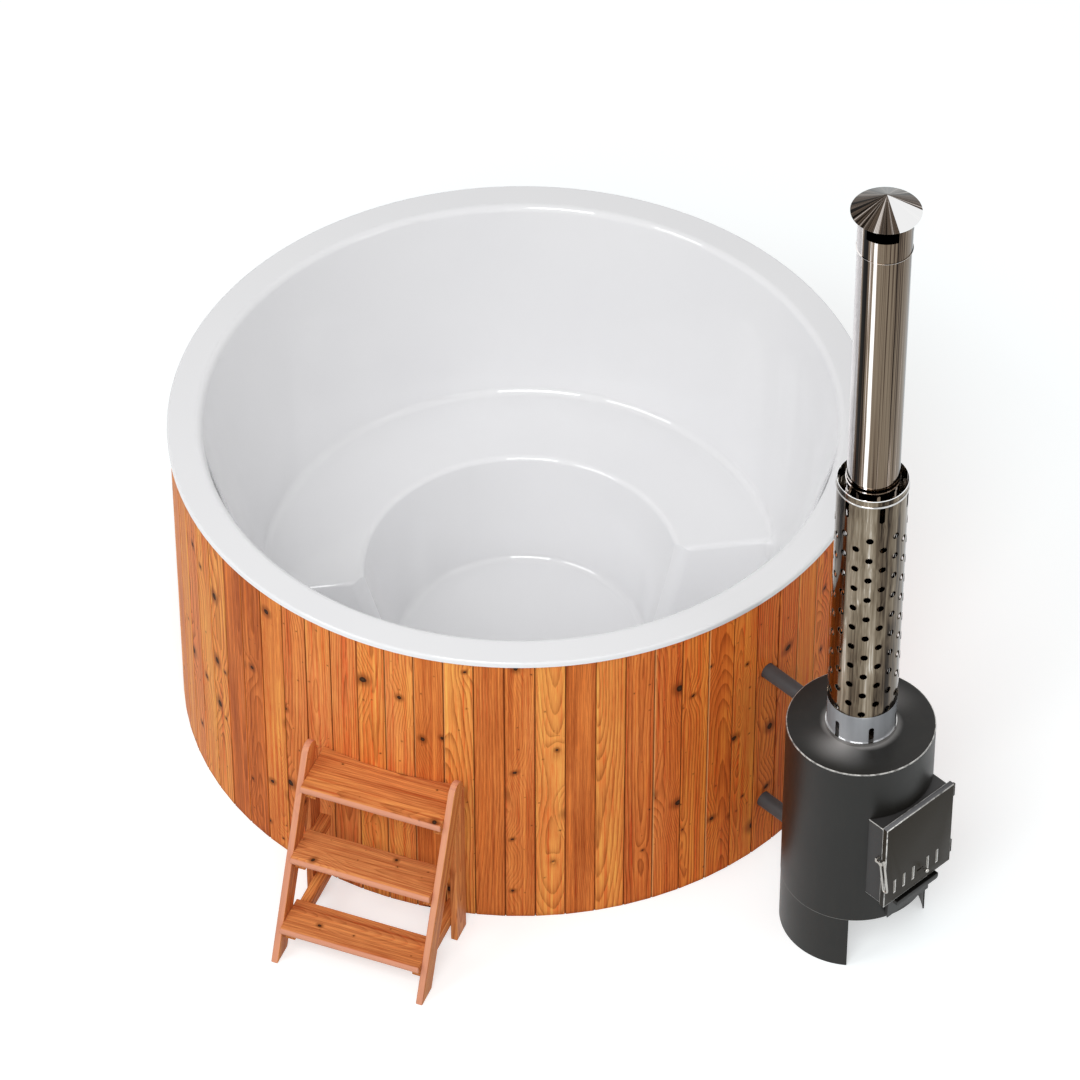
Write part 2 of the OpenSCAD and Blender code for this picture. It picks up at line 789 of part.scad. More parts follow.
// Domed covers with rows of holes over the fittings' mouths
module strainers() {
    cap_l = 12;
    color("gainsboro") for (z = [supply_z, return_z])
        translate([pad_in_x(z) - flange_t, 0, z]) rotate([0, -90, 0]) difference() {
            cylinder(r1 = pad_r - 8, r2 = pad_r - 11, h = cap_l);
            translate([0, 0, -past]) cylinder(r = pad_r - 14, h = cap_l - 2 + past);
            for (ring = [[1, 0], [6, 9.5], [12, 19], [18, 28]], i = [0:ring[0] - 1])
                rotate([0, 0, i * 360 / ring[0]]) translate([ring[1], 0, 0]) cylinder(r = 2.6, h = cap_l + past);
        }
}

module supply_pipe() {
    color("dimgray") translate([0, 0, supply_z]) difference() {
        rod_x(pipe_r, pad_in_x(supply_z) + 5, stove_x - body_in_r);
        rod_x(pipe_r - pipe_t, pad_in_x(supply_z), stove_x - body_in_r + past);
    }
}

// The return pipe, with the bend that takes it up into the water jacket
module return_pipe() {
    color("dimgray") difference() {
        union() {
            translate([0, 0, return_z]) rod_x(pipe_r, pad_in_x(return_z) + 5, stove_x + elbow_x);
            translate([stove_x + elbow_x, 0, return_z]) sphere(r = pipe_r);
            translate([stove_x + elbow_x, 0, return_z]) cylinder(r = pipe_r, h = jacket_floor_z + steel_t - return_z);
        }
        translate([0, 0, return_z]) rod_x(pipe_r - pipe_t, pad_in_x(return_z), stove_x + elbow_x);
        translate([stove_x + elbow_x, 0, return_z]) sphere(r = pipe_r - pipe_t);
        translate([stove_x + elbow_x, 0, return_z]) cylinder(r = pipe_r - pipe_t, h = jacket_floor_z);
    }
}

// ---- Stove ----

module at_stove() {
    translate([stove_x, 0, 0]) children();
}

// The neck's outer block, grown by a gap
module neck_block(gap) {
    span([0, -neck_w / 2 - gap, neck_z - gap], [neck_front_x, neck_w / 2 + gap, neck_z + neck_h + gap]);
}

// The duct's outer block, grown by a gap, as far as a front face
module duct_block(gap, front_x = duct_front_x) {
    span([0, -duct_w / 2 - gap, duct_z - gap], [front_x, duct_w / 2 + gap, duct_z + duct_h + gap]);
}

module stove_body() {
    color("darkslategray") difference() {
        at_stove() difference() {
            tube(stove_r, body_in_r, skirt_h, lid_under_z);
            neck_block(seat_gap);
            duct_block(seat_gap, stove_r + past);
        }
        for (z = [supply_z, return_z])
            translate([0, 0, z]) rod_x(pipe_r + seat_gap, wall_r, stove_x - firebox_r);
    }
}

module stove_lid() {
    color("dimgray") at_stove() translate([0, 0, lid_under_z]) difference() {
        rotate_extrude() polygon([[0, 0], [stove_r, 0], [stove_r, lid_t - 1.5], [stove_r - 1.5, lid_t], [0, lid_t]]);
        translate([0, 0, -past]) cylinder(r = sleeve_r, h = lid_t + 2 * past);
    }
}

// The ring plate that closes the water jacket below
module jacket_floor() {
    color("dimgray") at_stove() difference() {
        tube(body_in_r - seat_gap, firebox_r + seat_gap, jacket_floor_z, jacket_floor_z + steel_t);
        duct_block(seat_gap);
        translate([elbow_x, 0, jacket_floor_z - past]) cylinder(r = pipe_r + seat_gap, h = steel_t + 2 * past);
    }
}

// The inner drum with its floor, crown, flue collar and the ledge that carries the grate
module firebox() {
    color("dimgray") at_stove() difference() {
        union() {
            tube(firebox_r, firebox_in_r, firebox_floor_z, firebox_top_z);
            translate([0, 0, firebox_floor_z]) cylinder(r = firebox_r, h = steel_t);
            translate([0, 0, firebox_top_z]) cylinder(r = firebox_r, h = steel_t);
            translate([0, 0, firebox_top_z]) cylinder(r = sleeve_r + steel_t, h = lid_under_z - firebox_top_z - seat_gap);
            tube(firebox_in_r + past, firebox_in_r - ledge_w, grate_z - grate_t - ledge_t, grate_z - grate_t);
        }
        translate([0, 0, firebox_top_z - past]) cylinder(r = flue_in_r - 3, h = stove_h);
        translate([0, 0, firebox_top_z + steel_t]) cylinder(r = sleeve_r, h = stove_h);
        span([0, steel_t - neck_w / 2, neck_z + steel_t], [stove_r, neck_w / 2 - steel_t, neck_z + neck_h - steel_t]);
        duct_block(seat_gap);
    }
}

// The cast grate, loose on the firebox's ledge
module fire_grate() {
    slit_w = 9;
    slit_pitch = 22;
    color("black") at_stove() difference() {
        translate([0, 0, grate_z - grate_t]) cylinder(r = firebox_in_r - slide_gap, h = grate_t);
        for (i = [-5:5]) {
            half_slit = sqrt(pow(firebox_in_r - 22, 2) - pow(i * slit_pitch, 2));
            span([-half_slit, i * slit_pitch - slit_w / 2, grate_z - grate_t - past],
                 [half_slit, i * slit_pitch + slit_w / 2, grate_z + past]);
        }
    }
}

// The ring of sheet that carries the stove, open at the front below the ash drawer
module stove_skirt() {
    color("darkslategray") difference() {
        at_stove() difference() {
            tube(stove_r - 1, body_in_r - 1, 0, skirt_h);
            translate([0, 0, -past]) linear_extrude(skirt_h + 2 * past) polygon(
                [[0, 0], [tub_r * cos(skirt_opening), -tub_r * sin(skirt_opening)],
                 [tub_r * cos(skirt_opening), tub_r * sin(skirt_opening)]]);
        }
        translate([0, 0, return_z]) rod_x(pipe_r + seat_gap, wall_r, stove_x - firebox_r);
    }
}

// The rectangular neck from the firebox to the door
module door_neck() {
    color("dimgray") at_stove() difference() {
        neck_block(0);
        span([0, steel_t - neck_w / 2, neck_z + steel_t],
             [stove_r * 2, neck_w / 2 - steel_t, neck_z + neck_h - steel_t]);
        translate([0, 0, neck_z - past]) cylinder(r = firebox_r + seat_gap, h = neck_h + 2 * past);
    }
}

module fire_door() {
    rim_in = door_w / 2 - door_sheet_t;
    color("saddlebrown") at_stove() difference() {
        union() {
            span([door_back_x, -door_w / 2, door_z], [door_x, door_w / 2, door_z + door_h]);
            for (z = [hinge_low_z, hinge_top_z]) {
                translate([hinge_x, hinge_y, z]) cylinder(r = knuckle_r, h = knuckle_l);
                span([hinge_x, door_w / 2 - past, z], [hinge_x + knuckle_r, hinge_y, z + knuckle_l]);
            }
        }
        span([door_back_x - past, -rim_in, door_z + door_sheet_t], [door_in_x, rim_in, door_z + door_h - door_sheet_t]);
        for (y = slot_places)
            span([door_in_x - past, y - slot_w / 2, slot_z], [door_x + past, y + slot_w / 2, slot_z + slot_h]);
        for (y = [knob_y - slide_travel, knob_y])
            translate([0, y, knob_z]) rod_x(guide_r, door_in_x - past, door_x + past);
        span([door_in_x - past, knob_y - slide_travel, knob_z - guide_r], [door_x + past, knob_y, knob_z + guide_r]);
        for (z = [hinge_low_z, hinge_top_z])
            translate([hinge_x, hinge_y, z - past]) cylinder(r = hinge_pin_r + run_gap, h = knuckle_l + 2 * past);
        translate([latch_x, latch_y - past, latch_z]) rod_y(latch_pin_r + seat_gap, 0, door_sheet_t + 2 * past);
    }
}

// The rope seal that closes on the neck's front edge
module door_seal() {
    seal_w = 8;
    out_y = door_w / 2 - door_sheet_t;
    low_z = door_z + door_sheet_t;
    high_z = door_z + door_h - door_sheet_t;
    color("ivory") at_stove() difference() {
        span([neck_front_x + seat_gap, -out_y, low_z], [slide_in_x - slide_t - rail_t - seat_gap, out_y, high_z]);
        span([0, seal_w - out_y, low_z + seal_w], [door_x, out_y - seal_w, high_z - seal_w - 2]);
    }
}

// A heat shield on four studs inside the door
module door_baffle() {
    baffle_low = slot_z + slot_h + 3 * rail_w;
    baffle_high = neck_z + neck_h - 3 * steel_t;
    baffle_half = neck_w / 2 - 4 * steel_t;
    color("gray") at_stove() union() {
        span([neck_front_x + 2, -baffle_half, baffle_low], [neck_front_x + 4, baffle_half, baffle_high]);
        for (y = [-1, 1], z = [baffle_low + 20, baffle_high - 20])
            translate([0, y * (baffle_half - 20), z]) rod_x(5, neck_front_x + 3, door_in_x);
    }
}

// Straps welded to the neck's side, each ending in the eye that holds a hinge pin
module hinge_brackets() {
    strap_t = 4;
    color("dimgray") at_stove() for (z = [hinge_low_z, hinge_top_z])
        translate([0, 0, z - seat_gap - eye_l]) difference() {
            union() {
                translate([hinge_x, hinge_y, 0]) cylinder(r = knuckle_r, h = eye_l);
                span([hinge_x - 32, hinge_y - strap_t / 2, 0], [hinge_x, hinge_y + strap_t / 2, eye_l]);
                span([hinge_x - 32, neck_w / 2, 0], [hinge_x - 20, hinge_y + strap_t / 2, eye_l]);
            }
            translate([hinge_x, hinge_y, -past]) cylinder(r = hinge_pin_r + seat_gap, h = eye_l + 2 * past);
        }
}

module hinge_pins() {
    color("silver") at_stove() for (z = [hinge_low_z, hinge_top_z])
        translate([hinge_x, hinge_y, z - seat_gap - eye_l - pin_head_t]) {
            cylinder(r = hinge_pin_r, h = pin_head_t + eye_l + knuckle_l - 2);
            cylinder(r = hinge_pin_r + 1.5, h = pin_head_t);
        }
}

// The stud on the neck that the latch's finger closes under
module latch_keeper() {
    color("dimgray") at_stove() translate([latch_x - keeper_back, 0, latch_z + keeper_up])
        rod_y(keeper_r, latch_y - hub_w, -neck_w / 2);
}

// The pin that carries the latch on the door's edge
module latch_pin() {
    color("silver") at_stove() translate([latch_x, 0, latch_z]) {
        rod_y(latch_pin_r, latch_y - hub_w - 3, latch_y + door_sheet_t);
        rod_y(latch_pin_r + 3, latch_y - hub_w - 4, latch_y - hub_w - 1);
    }
}

// The hanging loop handle, its hub and the finger that presses up under the keeper
module door_latch() {
    hook_y = latch_y - hub_w - slide_gap / 2;
    half_w = loop_w / 2 - loop_rod_r;
    color("silver") at_stove() translate([latch_x, hook_y, latch_z]) difference() {
        union() {
            rod_y(hub_r, 0, hub_w - slide_gap);
            rotate([0, -loop_lean, 0]) translate([0, hub_w / 2, 0]) {
                for (side = [-1, 1])
                    translate([side * half_w, 0, half_w - loop_l]) cylinder(r = loop_rod_r, h = loop_l - 2 * half_w);
                translate([0, 0, half_w - loop_l]) rotate([90, 180, 0])
                    rotate_extrude(angle = 180) translate([half_w, 0]) circle(r = loop_rod_r);
                translate([0, 0, -half_w]) rotate([90, 0, 0])
                    rotate_extrude(angle = 180) translate([half_w, 0]) circle(r = loop_rod_r);
            }
            span([-keeper_back - keeper_r, 1, keeper_up - keeper_r - seat_gap - 7],
                 [0, 6, keeper_up - keeper_r - seat_gap]);
        }
        rod_y(latch_pin_r + run_gap, -past, hub_w + past);
    }
}

// The sliding plate behind the slots, shut
module air_slide() {
    plate_z = slot_z - 6;
    plate_h = slot_h + 12;
    left_y = slot_first_y - slot_w / 2 - 9;
    right_y = slot_second_y + slot_pitch + slide_travel + slot_w / 2 + 6;
    color("silver") at_stove() difference() {
        span([slide_in_x - slide_t, left_y, plate_z], [slide_in_x, right_y, plate_z + plate_h]);
        for (y = slot_places)
            span([0, y + slide_travel - slot_w / 2, slot_z], [door_x, y + slide_travel + slot_w / 2, slot_z + slot_h]);
        translate([0, knob_y, knob_z]) rod_x(knob_stem_r + seat_gap, 0, door_x);
    }
}

// The knob, screwed into the slide through the guide slot
module air_knob() {
    color("silver") at_stove() translate([0, knob_y, knob_z]) {
        rod_x(knob_stem_r, slide_in_x - slide_t - 1, door_x + knob_l);
        translate([door_x + knob_l, 0, 0]) sphere(r = knob_r);
        rod_x(knob_stem_r + 2, slide_in_x - slide_t - 3, slide_in_x - slide_t);
    }
}

// Folded strips that hold the slide against the door
module slide_rails() {
    plate_low = slot_z - 6;
    plate_high = slot_z + slot_h + 6;
    rail_half = door_w / 2 - 2 * door_sheet_t - 2;
    color("gray") at_stove() for (side = [[plate_low, -1], [plate_high, 1]]) {
        far = side[0] + side[1] * (slide_gap + rail_w);
        near = side[0] + side[1] * slide_gap;
        over = side[0] - side[1] * 2;
        span([slide_in_x - slide_t - slide_gap - 2, -rail_half, min(near, far)], [door_in_x, rail_half, max(near, far)]);
        span([slide_in_x - slide_t - slide_gap - 2, -rail_half, min(over, far)],
             [slide_in_x - slide_t - slide_gap, rail_half, max(over, far)]);
    }
}

// ---- Ash drawer ----

// The duct that the drawer runs in, from the firebox to the body's front
module ash_duct() {
    color("dimgray") at_stove() difference() {
        duct_block(0);
        span([0, duct_t - duct_w / 2, duct_z + duct_t], [stove_r * 2, duct_w / 2 - duct_t, duct_z + duct_h - duct_t]);
        translate([0, 0, duct_z - past]) cylinder(r = firebox_in_r + past, h = duct_h + 2 * past);
    }
}

module ash_drawer() {
    front_back_x = drawer_front_x;
    front_x = drawer_front_x + drawer_t;
    tray_back_x = front_x - tray_l;
    pull_half = drawer_w / 2;
    color("saddlebrown") at_stove() union() {
        span([front_back_x, -drawer_w / 2, drawer_z], [front_x, drawer_w / 2, drawer_z + drawer_h]);
        difference() {
            span([tray_back_x, -tray_w / 2, tray_z], [front_x, tray_w / 2, tray_z + tray_h]);
            span([tray_back_x + drawer_t, drawer_t - tray_w / 2, tray_z + drawer_t],
                 [front_back_x - drawer_t, tray_w / 2 - drawer_t, tray_z + tray_h + past]);
        }
        // A trough along the front's upper edge serves as the pull
        difference() {
            translate([front_x - drawer_t / 2, 0, 0]) rotate([90, 0, 90]) linear_extrude(pull_depth + drawer_t / 2)
                polygon(outline([[-pull_half, pull_z], [pull_half, pull_z], [pull_half, pull_z + pull_h],
                                 [-pull_half, pull_z + pull_h]], [8, 8, 0, 0]));
            span([front_x, drawer_t - pull_half, pull_z + drawer_t],
                 [pull_out_x - drawer_t, pull_half - drawer_t, pull_z + pull_h + past]);
        }
    }
}

// ---- Chimney ----

module flue_pipe_lower() {
    color("silver") at_stove() tube(flue_r, flue_in_r, firebox_top_z + steel_t, flue_joint_z);
}

module flue_pipe_upper() {
    color("silver") at_stove() tube(flue_r, flue_in_r, flue_joint_z, cowl_z + 50);
}

// The rolled band over the joint between the two pipes
module flue_band() {
    color("silver") at_stove() translate([0, 0, flue_joint_z]) difference() {
        union() {
            translate([0, 0, -14]) cylinder(r = sleeve_r + 1.2, h = 28);
            rotate_extrude() translate([sleeve_r + 1.2, 0]) circle(r = 1.8);
        }
        translate([0, 0, -20]) cylinder(r = sleeve_r, h = 40);
    }
}

// An upright slot with round ends, cut through the guard on one side
module guard_slot(z0, z1) {
    half = guard_slot_w / 2;
    deep = guard_in_r - half;
    span([deep, -half, z0 + half], [guard_r + past, half, z1 - half]);
    for (z = [z0 + half, z1 - half])
        translate([0, 0, z]) rod_x(half, deep, guard_r + past);
}

module heat_guard() {
    color("silver") at_stove() difference() {
        tube(guard_r, guard_in_r, stove_h, guard_top_z);
        // Every second column stands half a pitch higher and has one hole fewer
        for (c = [0:guard_columns - 1]) {
            odd = c % 2;
            for (i = [0:guard_rows - 1 - odd])
                translate([0, 0, guard_first_z + (i + odd / 2) * guard_pitch])
                    rotate([0, 0, guard_turn + c * 360 / guard_columns])
                        rod_x(guard_hole_r, guard_in_r - guard_hole_r, guard_r + past);
        }
        for (i = [0:5]) rotate([0, 0, 30 + i * 60]) {
            guard_slot(bead_z - 4 - guard_slot_h, bead_z - 4);
            guard_slot(stove_h - guard_slot_w, stove_h + base_ring_h + guard_slot_h);
        }
    }
}

module guard_base_ring() {
    color("silver") at_stove() tube(guard_r + seat_gap + 2.4, guard_r + seat_gap, stove_h, stove_h + base_ring_h);
}

module guard_bead() {
    color("silver") at_stove() translate([0, 0, bead_z]) rotate_extrude()
        polygon(outline([[guard_r + seat_gap, -3], [guard_r + seat_gap + 2.6, -3],
                         [guard_r + seat_gap + 2.6, 3], [guard_r + seat_gap, 3]], [0, 2.2, 2.2, 0]));
}

// Distance pieces between the flue pipe and the guard
module guard_spacers() {
    foot_t = 1.5;
    foot_half = 8;
    in_x = flue_r + seat_gap;
    out_x = sqrt(pow(guard_in_r - seat_gap, 2) - pow(foot_half, 2));
    color("silver") at_stove() for (z = [stove_h + 60, bead_z - 20], i = [0:2])
        rotate([0, 0, i * 120]) translate([0, 0, z]) {
            span([in_x, -foot_half, 0], [out_x, foot_half, foot_t]);
            span([in_x, -foot_half, 0], [in_x + foot_t, foot_half, 14]);
        }
}

// The slotted top sleeve with its three smoke windows
module chimney_cowl() {
    cowl_out_r = sleeve_r + 1.2;
    cowl_top_z = cap_z + cap_edge - cap_t + (cap_r - cowl_out_r) * cap_slope - seat_gap / 2;
    color("silver") at_stove() difference() {
        union() {
            tube(cowl_out_r, sleeve_r, cowl_z, cowl_top_z);
            translate([0, 0, cowl_z + 2]) rotate_extrude() translate([cowl_out_r + 0.4, 0]) circle(r = 1.4);
        }
        for (i = [0:2]) rotate([0, 0, window_turn + i * 120 - window_angle / 2]) translate([0, 0, window_z])
            rotate_extrude(angle = window_angle) translate([sleeve_r - 5, 0]) square([10, window_h]);
    }
}

module chimney_cap() {
    color("silver") at_stove() translate([0, 0, cap_z]) rotate_extrude() polygon(
        [[cap_r, 0], [cap_r, cap_edge], [0, cap_edge + cap_rise], [0, cap_edge + cap_rise - cap_t],
         [cap_r - cap_t, cap_edge - cap_t + cap_t * cap_slope], [cap_r - cap_t, 0]]);
}

// ---- Steps ----

module at_steps() {
    rotate([0, 0, steps_turn]) children();
}

// Outline of a sloping side board, round at its upper end
function side_outline() =
    let (up = [-sin(steps_lean), cos(steps_lean)], back = [-cos(steps_lean), -sin(steps_lean)],
         top_front = [steps_front, 0] + side_l * up, top_back = top_front + side_w * back)
    outline([[steps_front, 0], top_front, top_back, [steps_front - side_foot_w, 0]],
            [0, side_round, side_round, 0]);

// Outline of an upright post, cut to the slope of the side board that it meets
function post_outline() =
    let (front = steps_back + post_w, meet_z = (steps_front - side_foot_w - front) / tan(steps_lean),
         end_z = (side_l - side_round) * cos(steps_lean) - side_w * sin(steps_lean),
         end = steps_front - side_foot_w - end_z * tan(steps_lean))
    [[steps_back, 0], [front, 0], [front, meet_z], [end, end_z], [steps_back, end_z - 5]];

module step_side_left() {
    color("sandybrown") at_steps() upright_board(side_outline(), -steps_w / 2, side_t);
}

module step_side_right() {
    color("sandybrown") at_steps() upright_board(side_outline(), side_in_y, side_t);
}

module step_post_left() {
    color("peru") at_steps() upright_board(post_outline(), -steps_w / 2, side_t);
}

module step_post_right() {
    color("peru") at_steps() upright_board(post_outline(), side_in_y, side_t);
}

// A tread with a round nose, from its back edge to its front, its upper face at z
module tread(back, z) {
    front = side_front(z) + tread_nose;
    upright_board(outline([[back, z - tread_t], [front, z - tread_t], [front, z], [back, z]],
                          [0, tread_t * 0.45, tread_t * 0.45, 0]), -side_in_y, 2 * side_in_y);
}

// The top tread's back edge is cut to the curve of the tub
module tread_top() {
    color("peru") at_steps() difference() {
        tread(sqrt(pow(wall_r, 2) - pow(side_in_y, 2)), tread_low_z + 2 * tread_rise);
        cylinder(r = wall_corner_r + seat_gap, h = tub_h);
    }
}

module tread_middle() {
    z = tread_low_z + tread_rise;
    color("peru") at_steps() tread(side_front(z) + tread_nose - tread_w, z);
}

module tread_bottom() {
    z = tread_low_z;
    color("peru") at_steps() tread(side_front(z) + tread_nose - tread_w, z);
}

// Bearers from post to side board, one under each end of each tread
module step_bearers() {
    color("sandybrown") at_steps() for (i = [0:2], side = [-1, 1]) {
        top = tread_low_z + i * tread_rise - tread_t;
        inner = side * (side_in_y - bearer_w);
        outer = side * side_in_y;
        span([steps_back + 2, min(inner, outer), top - bearer_h], [side_front(top) - 14, max(inner, outer), top]);
    }
}

basin();
top_ring();
middle_ring();
bottom_ring();
wall_studs();
floor_joists();
seat_posts();
wall_staves();
pipe_stave();
drain_staves();
drain_flange();
drain_sump();
drain_grate();
drain_pipe();
drain_valve_body();
drain_ball();
drain_lever();
supply_fitting();
return_fitting();
fitting_nuts();
strainers();
supply_pipe();
return_pipe();
stove_body();
stove_lid();
jacket_floor();
firebox();
fire_grate();
stove_skirt();
door_neck();
fire_door();
door_seal();
door_baffle();
hinge_brackets();
hinge_pins();
latch_keeper();
latch_pin();
door_latch();
air_slide();
air_knob();
slide_rails();
ash_duct();
ash_drawer();
flue_pipe_lower();
flue_pipe_upper();
flue_band();
heat_guard();
guard_base_ring();
guard_bead();
guard_spacers();
chimney_cowl();
chimney_cap();
step_side_left();
step_side_right();
step_post_left();
step_post_right();
tread_top();
tread_middle();
tread_bottom();
step_bearers();
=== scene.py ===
import json
import math

import bmesh
import bpy
from mathutils import Matrix, Vector

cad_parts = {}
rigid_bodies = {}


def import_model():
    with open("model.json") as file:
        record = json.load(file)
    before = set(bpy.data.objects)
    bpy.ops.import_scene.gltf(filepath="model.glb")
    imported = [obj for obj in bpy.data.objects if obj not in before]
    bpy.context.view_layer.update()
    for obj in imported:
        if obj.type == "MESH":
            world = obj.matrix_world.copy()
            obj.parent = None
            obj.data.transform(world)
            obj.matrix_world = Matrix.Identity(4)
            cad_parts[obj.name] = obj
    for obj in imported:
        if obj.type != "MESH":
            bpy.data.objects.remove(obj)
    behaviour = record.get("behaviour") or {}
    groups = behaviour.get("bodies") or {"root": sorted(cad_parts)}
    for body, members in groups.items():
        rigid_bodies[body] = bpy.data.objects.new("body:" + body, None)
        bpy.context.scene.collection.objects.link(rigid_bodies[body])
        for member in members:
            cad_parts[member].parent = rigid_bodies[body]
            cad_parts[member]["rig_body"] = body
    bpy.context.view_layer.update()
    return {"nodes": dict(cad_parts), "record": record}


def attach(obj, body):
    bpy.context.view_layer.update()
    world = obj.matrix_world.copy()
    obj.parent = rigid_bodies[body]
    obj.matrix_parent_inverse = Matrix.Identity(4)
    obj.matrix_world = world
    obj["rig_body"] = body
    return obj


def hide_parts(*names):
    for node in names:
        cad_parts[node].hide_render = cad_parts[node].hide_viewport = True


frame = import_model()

nodes = frame["nodes"]
dressed = {}     # the pieces that stand for CAD nodes, by the node's name
print("frame loaded:", len(nodes), "CAD nodes")


class Wire:
    # One output socket. Python's operators on it add the Math nodes.
    def __init__(self, net, socket):
        self.net = net
        self.socket = socket

    def out(self, name):
        return Wire(self.net, self.socket.node.outputs[name])

    def __add__(self, other):
        return self.net.calc("ADD", self, other)

    def __radd__(self, other):
        return self.net.calc("ADD", other, self)

    def __sub__(self, other):
        return self.net.calc("SUBTRACT", self, other)

    def __rsub__(self, other):
        return self.net.calc("SUBTRACT", other, self)

    def __mul__(self, other):
        return self.net.calc("MULTIPLY", self, other)

    def __rmul__(self, other):
        return self.net.calc("MULTIPLY", other, self)

    def __truediv__(self, other):
        return self.net.calc("DIVIDE", self, other)

    def __rtruediv__(self, other):
        return self.net.calc("DIVIDE", other, self)

    def __pow__(self, other):
        return self.net.calc("POWER", self, other)

    def __mod__(self, other):
        return self.net.calc("FLOORED_MODULO", self, other)

    def __neg__(self):
        return self.net.calc("MULTIPLY", self, -1.0)

    def __abs__(self):
        return self.net.calc("ABSOLUTE", self)

    def __lt__(self, other):
        return self.net.calc("LESS_THAN", self, other)

    def __gt__(self, other):
        return self.net.calc("GREATER_THAN", self, other)


class Net:
    # A shader or geometry tree under construction
    def __init__(self, tree):
        self.tree = tree

    def add(self, kind, settings=None, sockets=None, out=0):
        node = self.tree.nodes.new(kind)
        for name, value in (settings or {}).items():
            if name == "stops":
                self.setStops(node.color_ramp, value)
            else:
                setattr(node, name, value)
        for key, value in (sockets or {}).items():
            if isinstance(value, Wire):
                self.tree.links.new(value.socket, node.inputs[key])
            else:
                node.inputs[key].default_value = value
        return Wire(self, node.outputs[out]) if len(node.outputs) else node

    def setStops(self, ramp, stops):
        while len(ramp.elements) < len(stops):
            ramp.elements.new(0.5)
        for element, (position, colour) in zip(ramp.elements, stops):
            element.position = position
            element.color = colour

    def calc(self, operation, *values):
        return self.add("ShaderNodeMath", {"operation": operation}, dict(enumerate(values)))

    def fit(self, value, low, high):
        # 0 at low and 1 at high, with a soft start and end
        return self.add("ShaderNodeMapRange", {"interpolation_type": "SMOOTHSTEP"},
                        {"Value": value, "From Min": low, "From Max": high})

    def blend(self, factor, first, second, mode="MIX"):
        return self.add("ShaderNodeMix", {"data_type": "RGBA", "blend_type": mode},
                        {0: factor, 6: first, 7: second}, out=2)

    def ramp(self, value, stops):
        return self.add("ShaderNodeValToRGB", {"stops": stops}, {"Fac": value})

    def vector(self, x, y, z):
        return self.add("ShaderNodeCombineXYZ", None, {0: x, 1: y, 2: z})

    def split(self, vector):
        # The three coordinates of a vector
        parts = self.add("ShaderNodeSeparateXYZ", None, {0: vector})
        return parts, parts.out("Y"), parts.out("Z")

    def splitColour(self, colour):
        parts = self.add("ShaderNodeSeparateColor", None, {"Color": colour})
        return parts, parts.out("Green"), parts.out("Blue")

    def noise(self, where, scale=1.0, detail=2.0, rough=0.5):
        return self.add("ShaderNodeTexNoise", None,
                        {"Vector": where, "Scale": scale, "Detail": detail, "Roughness": rough})

    def stretch(self, where, scale):
        return self.add("ShaderNodeMapping", None, {"Vector": where, "Scale": scale})


def tone(red, green, blue):
    # An ordinary 0-255 colour as the linear one that the shaders use
    def linear(v):
        v = v / 255
        return v / 12.92 if v <= 0.04045 else ((v + 0.055) / 1.055) ** 2.4
    return (linear(red), linear(green), linear(blue), 1.0)


def newMaterial(name):
    made = bpy.data.materials.new(name)
    made.use_nodes = True
    made.node_tree.nodes.clear()
    return made, Net(made.node_tree)


def close(net, settings):
    # The one shader of a material. Fixed numbers sit on its own sockets.
    shader = net.add("ShaderNodeBsdfPrincipled", None, settings)
    net.add("ShaderNodeOutputMaterial", None, {"Surface": shader})


def bumped(net, height, distance, strength):
    return net.add("ShaderNodeBump", None, {"Height": height, "Distance": distance, "Strength": strength})


def place(net):
    return net.add("ShaderNodeTexCoord", out="Object")


def setMaterial(name, made):
    for target in (nodes[name], dressed.get(name)):
        if target is not None:
            target.data.materials.clear()
            target.data.materials.append(made)


def newObject(name, data):
    made = bpy.data.objects.new(name, data)
    bpy.context.scene.collection.objects.link(made)
    return made


# Red cedar, for the wall and the steps
cedar = {
    "goldTone": tone(239, 153, 79),
    "amberTone": tone(235, 146, 73),
    "rustTone": tone(217, 125, 63),
    "pinkTone": tone(231, 139, 77),
    "brownTone": tone(194, 104, 48),
    "boardTones": [(0.0, "brownTone"), (0.18, "rustTone"), (0.36, "pinkTone"), (0.52, "amberTone"),
                   (0.70, "goldTone"), (0.86, "amberTone"), (1.0, "rustTone")],
    "cloudSpread": 0.5,
    "washTone": tone(186, 130, 88),
    "lateTone": tone(124, 52, 16),
    "lateLeast": 0.34, "lateSpread": 0.42,
    "lineTones": [(0.34, tone(134, 101, 82)), (0.5, tone(188, 188, 188)), (0.66, tone(246, 242, 234))],
    "lineAmount": 0.85, "fibreShare": 0.4, "streakShare": 0.6,
    # painted one over the other: which knots, which part of them, how much, and its tone
    "knotLayers": [("big", "halo", 0.66, tone(112, 50, 18)), ("pins", "halo", 0.3, tone(112, 50, 18)),
                   ("big", "core", 0.94, tone(42, 30, 22)), ("big", "heart", 0.5, tone(78, 64, 50)),
                   ("pins", "core", 0.85, tone(42, 30, 22))],
    "roughness": 0.46,
    "gloss": 0.045,
    "reliefDepth": 0.0007, "lateRelief": -0.5, "fibreRelief": 0.3, "knotRelief": 0.8,
}
# How a board lies in its log, with lengths in metres
logShape = {
    "pithAside": 0.17, "pithNearest": 0.004, "pithDepth": 0.05, "slant": 0.16,
    "swayAside": 0.03, "swayDepth": 0.07, "swaySlide": 40.0,
    "drift": 0.016, "driftSlide": 20.0, "ripple": 0.0024, "shake": 0.22,
    "ringGap": 0.0080, "gapLeast": 0.5, "gapSpread": 0.8,
    "lateCurve": 2.2, "lateEnd": 0.9,
    "secondDraw": 31.7, "pinShift": 3.3, "clearBoards": 0.3,
}
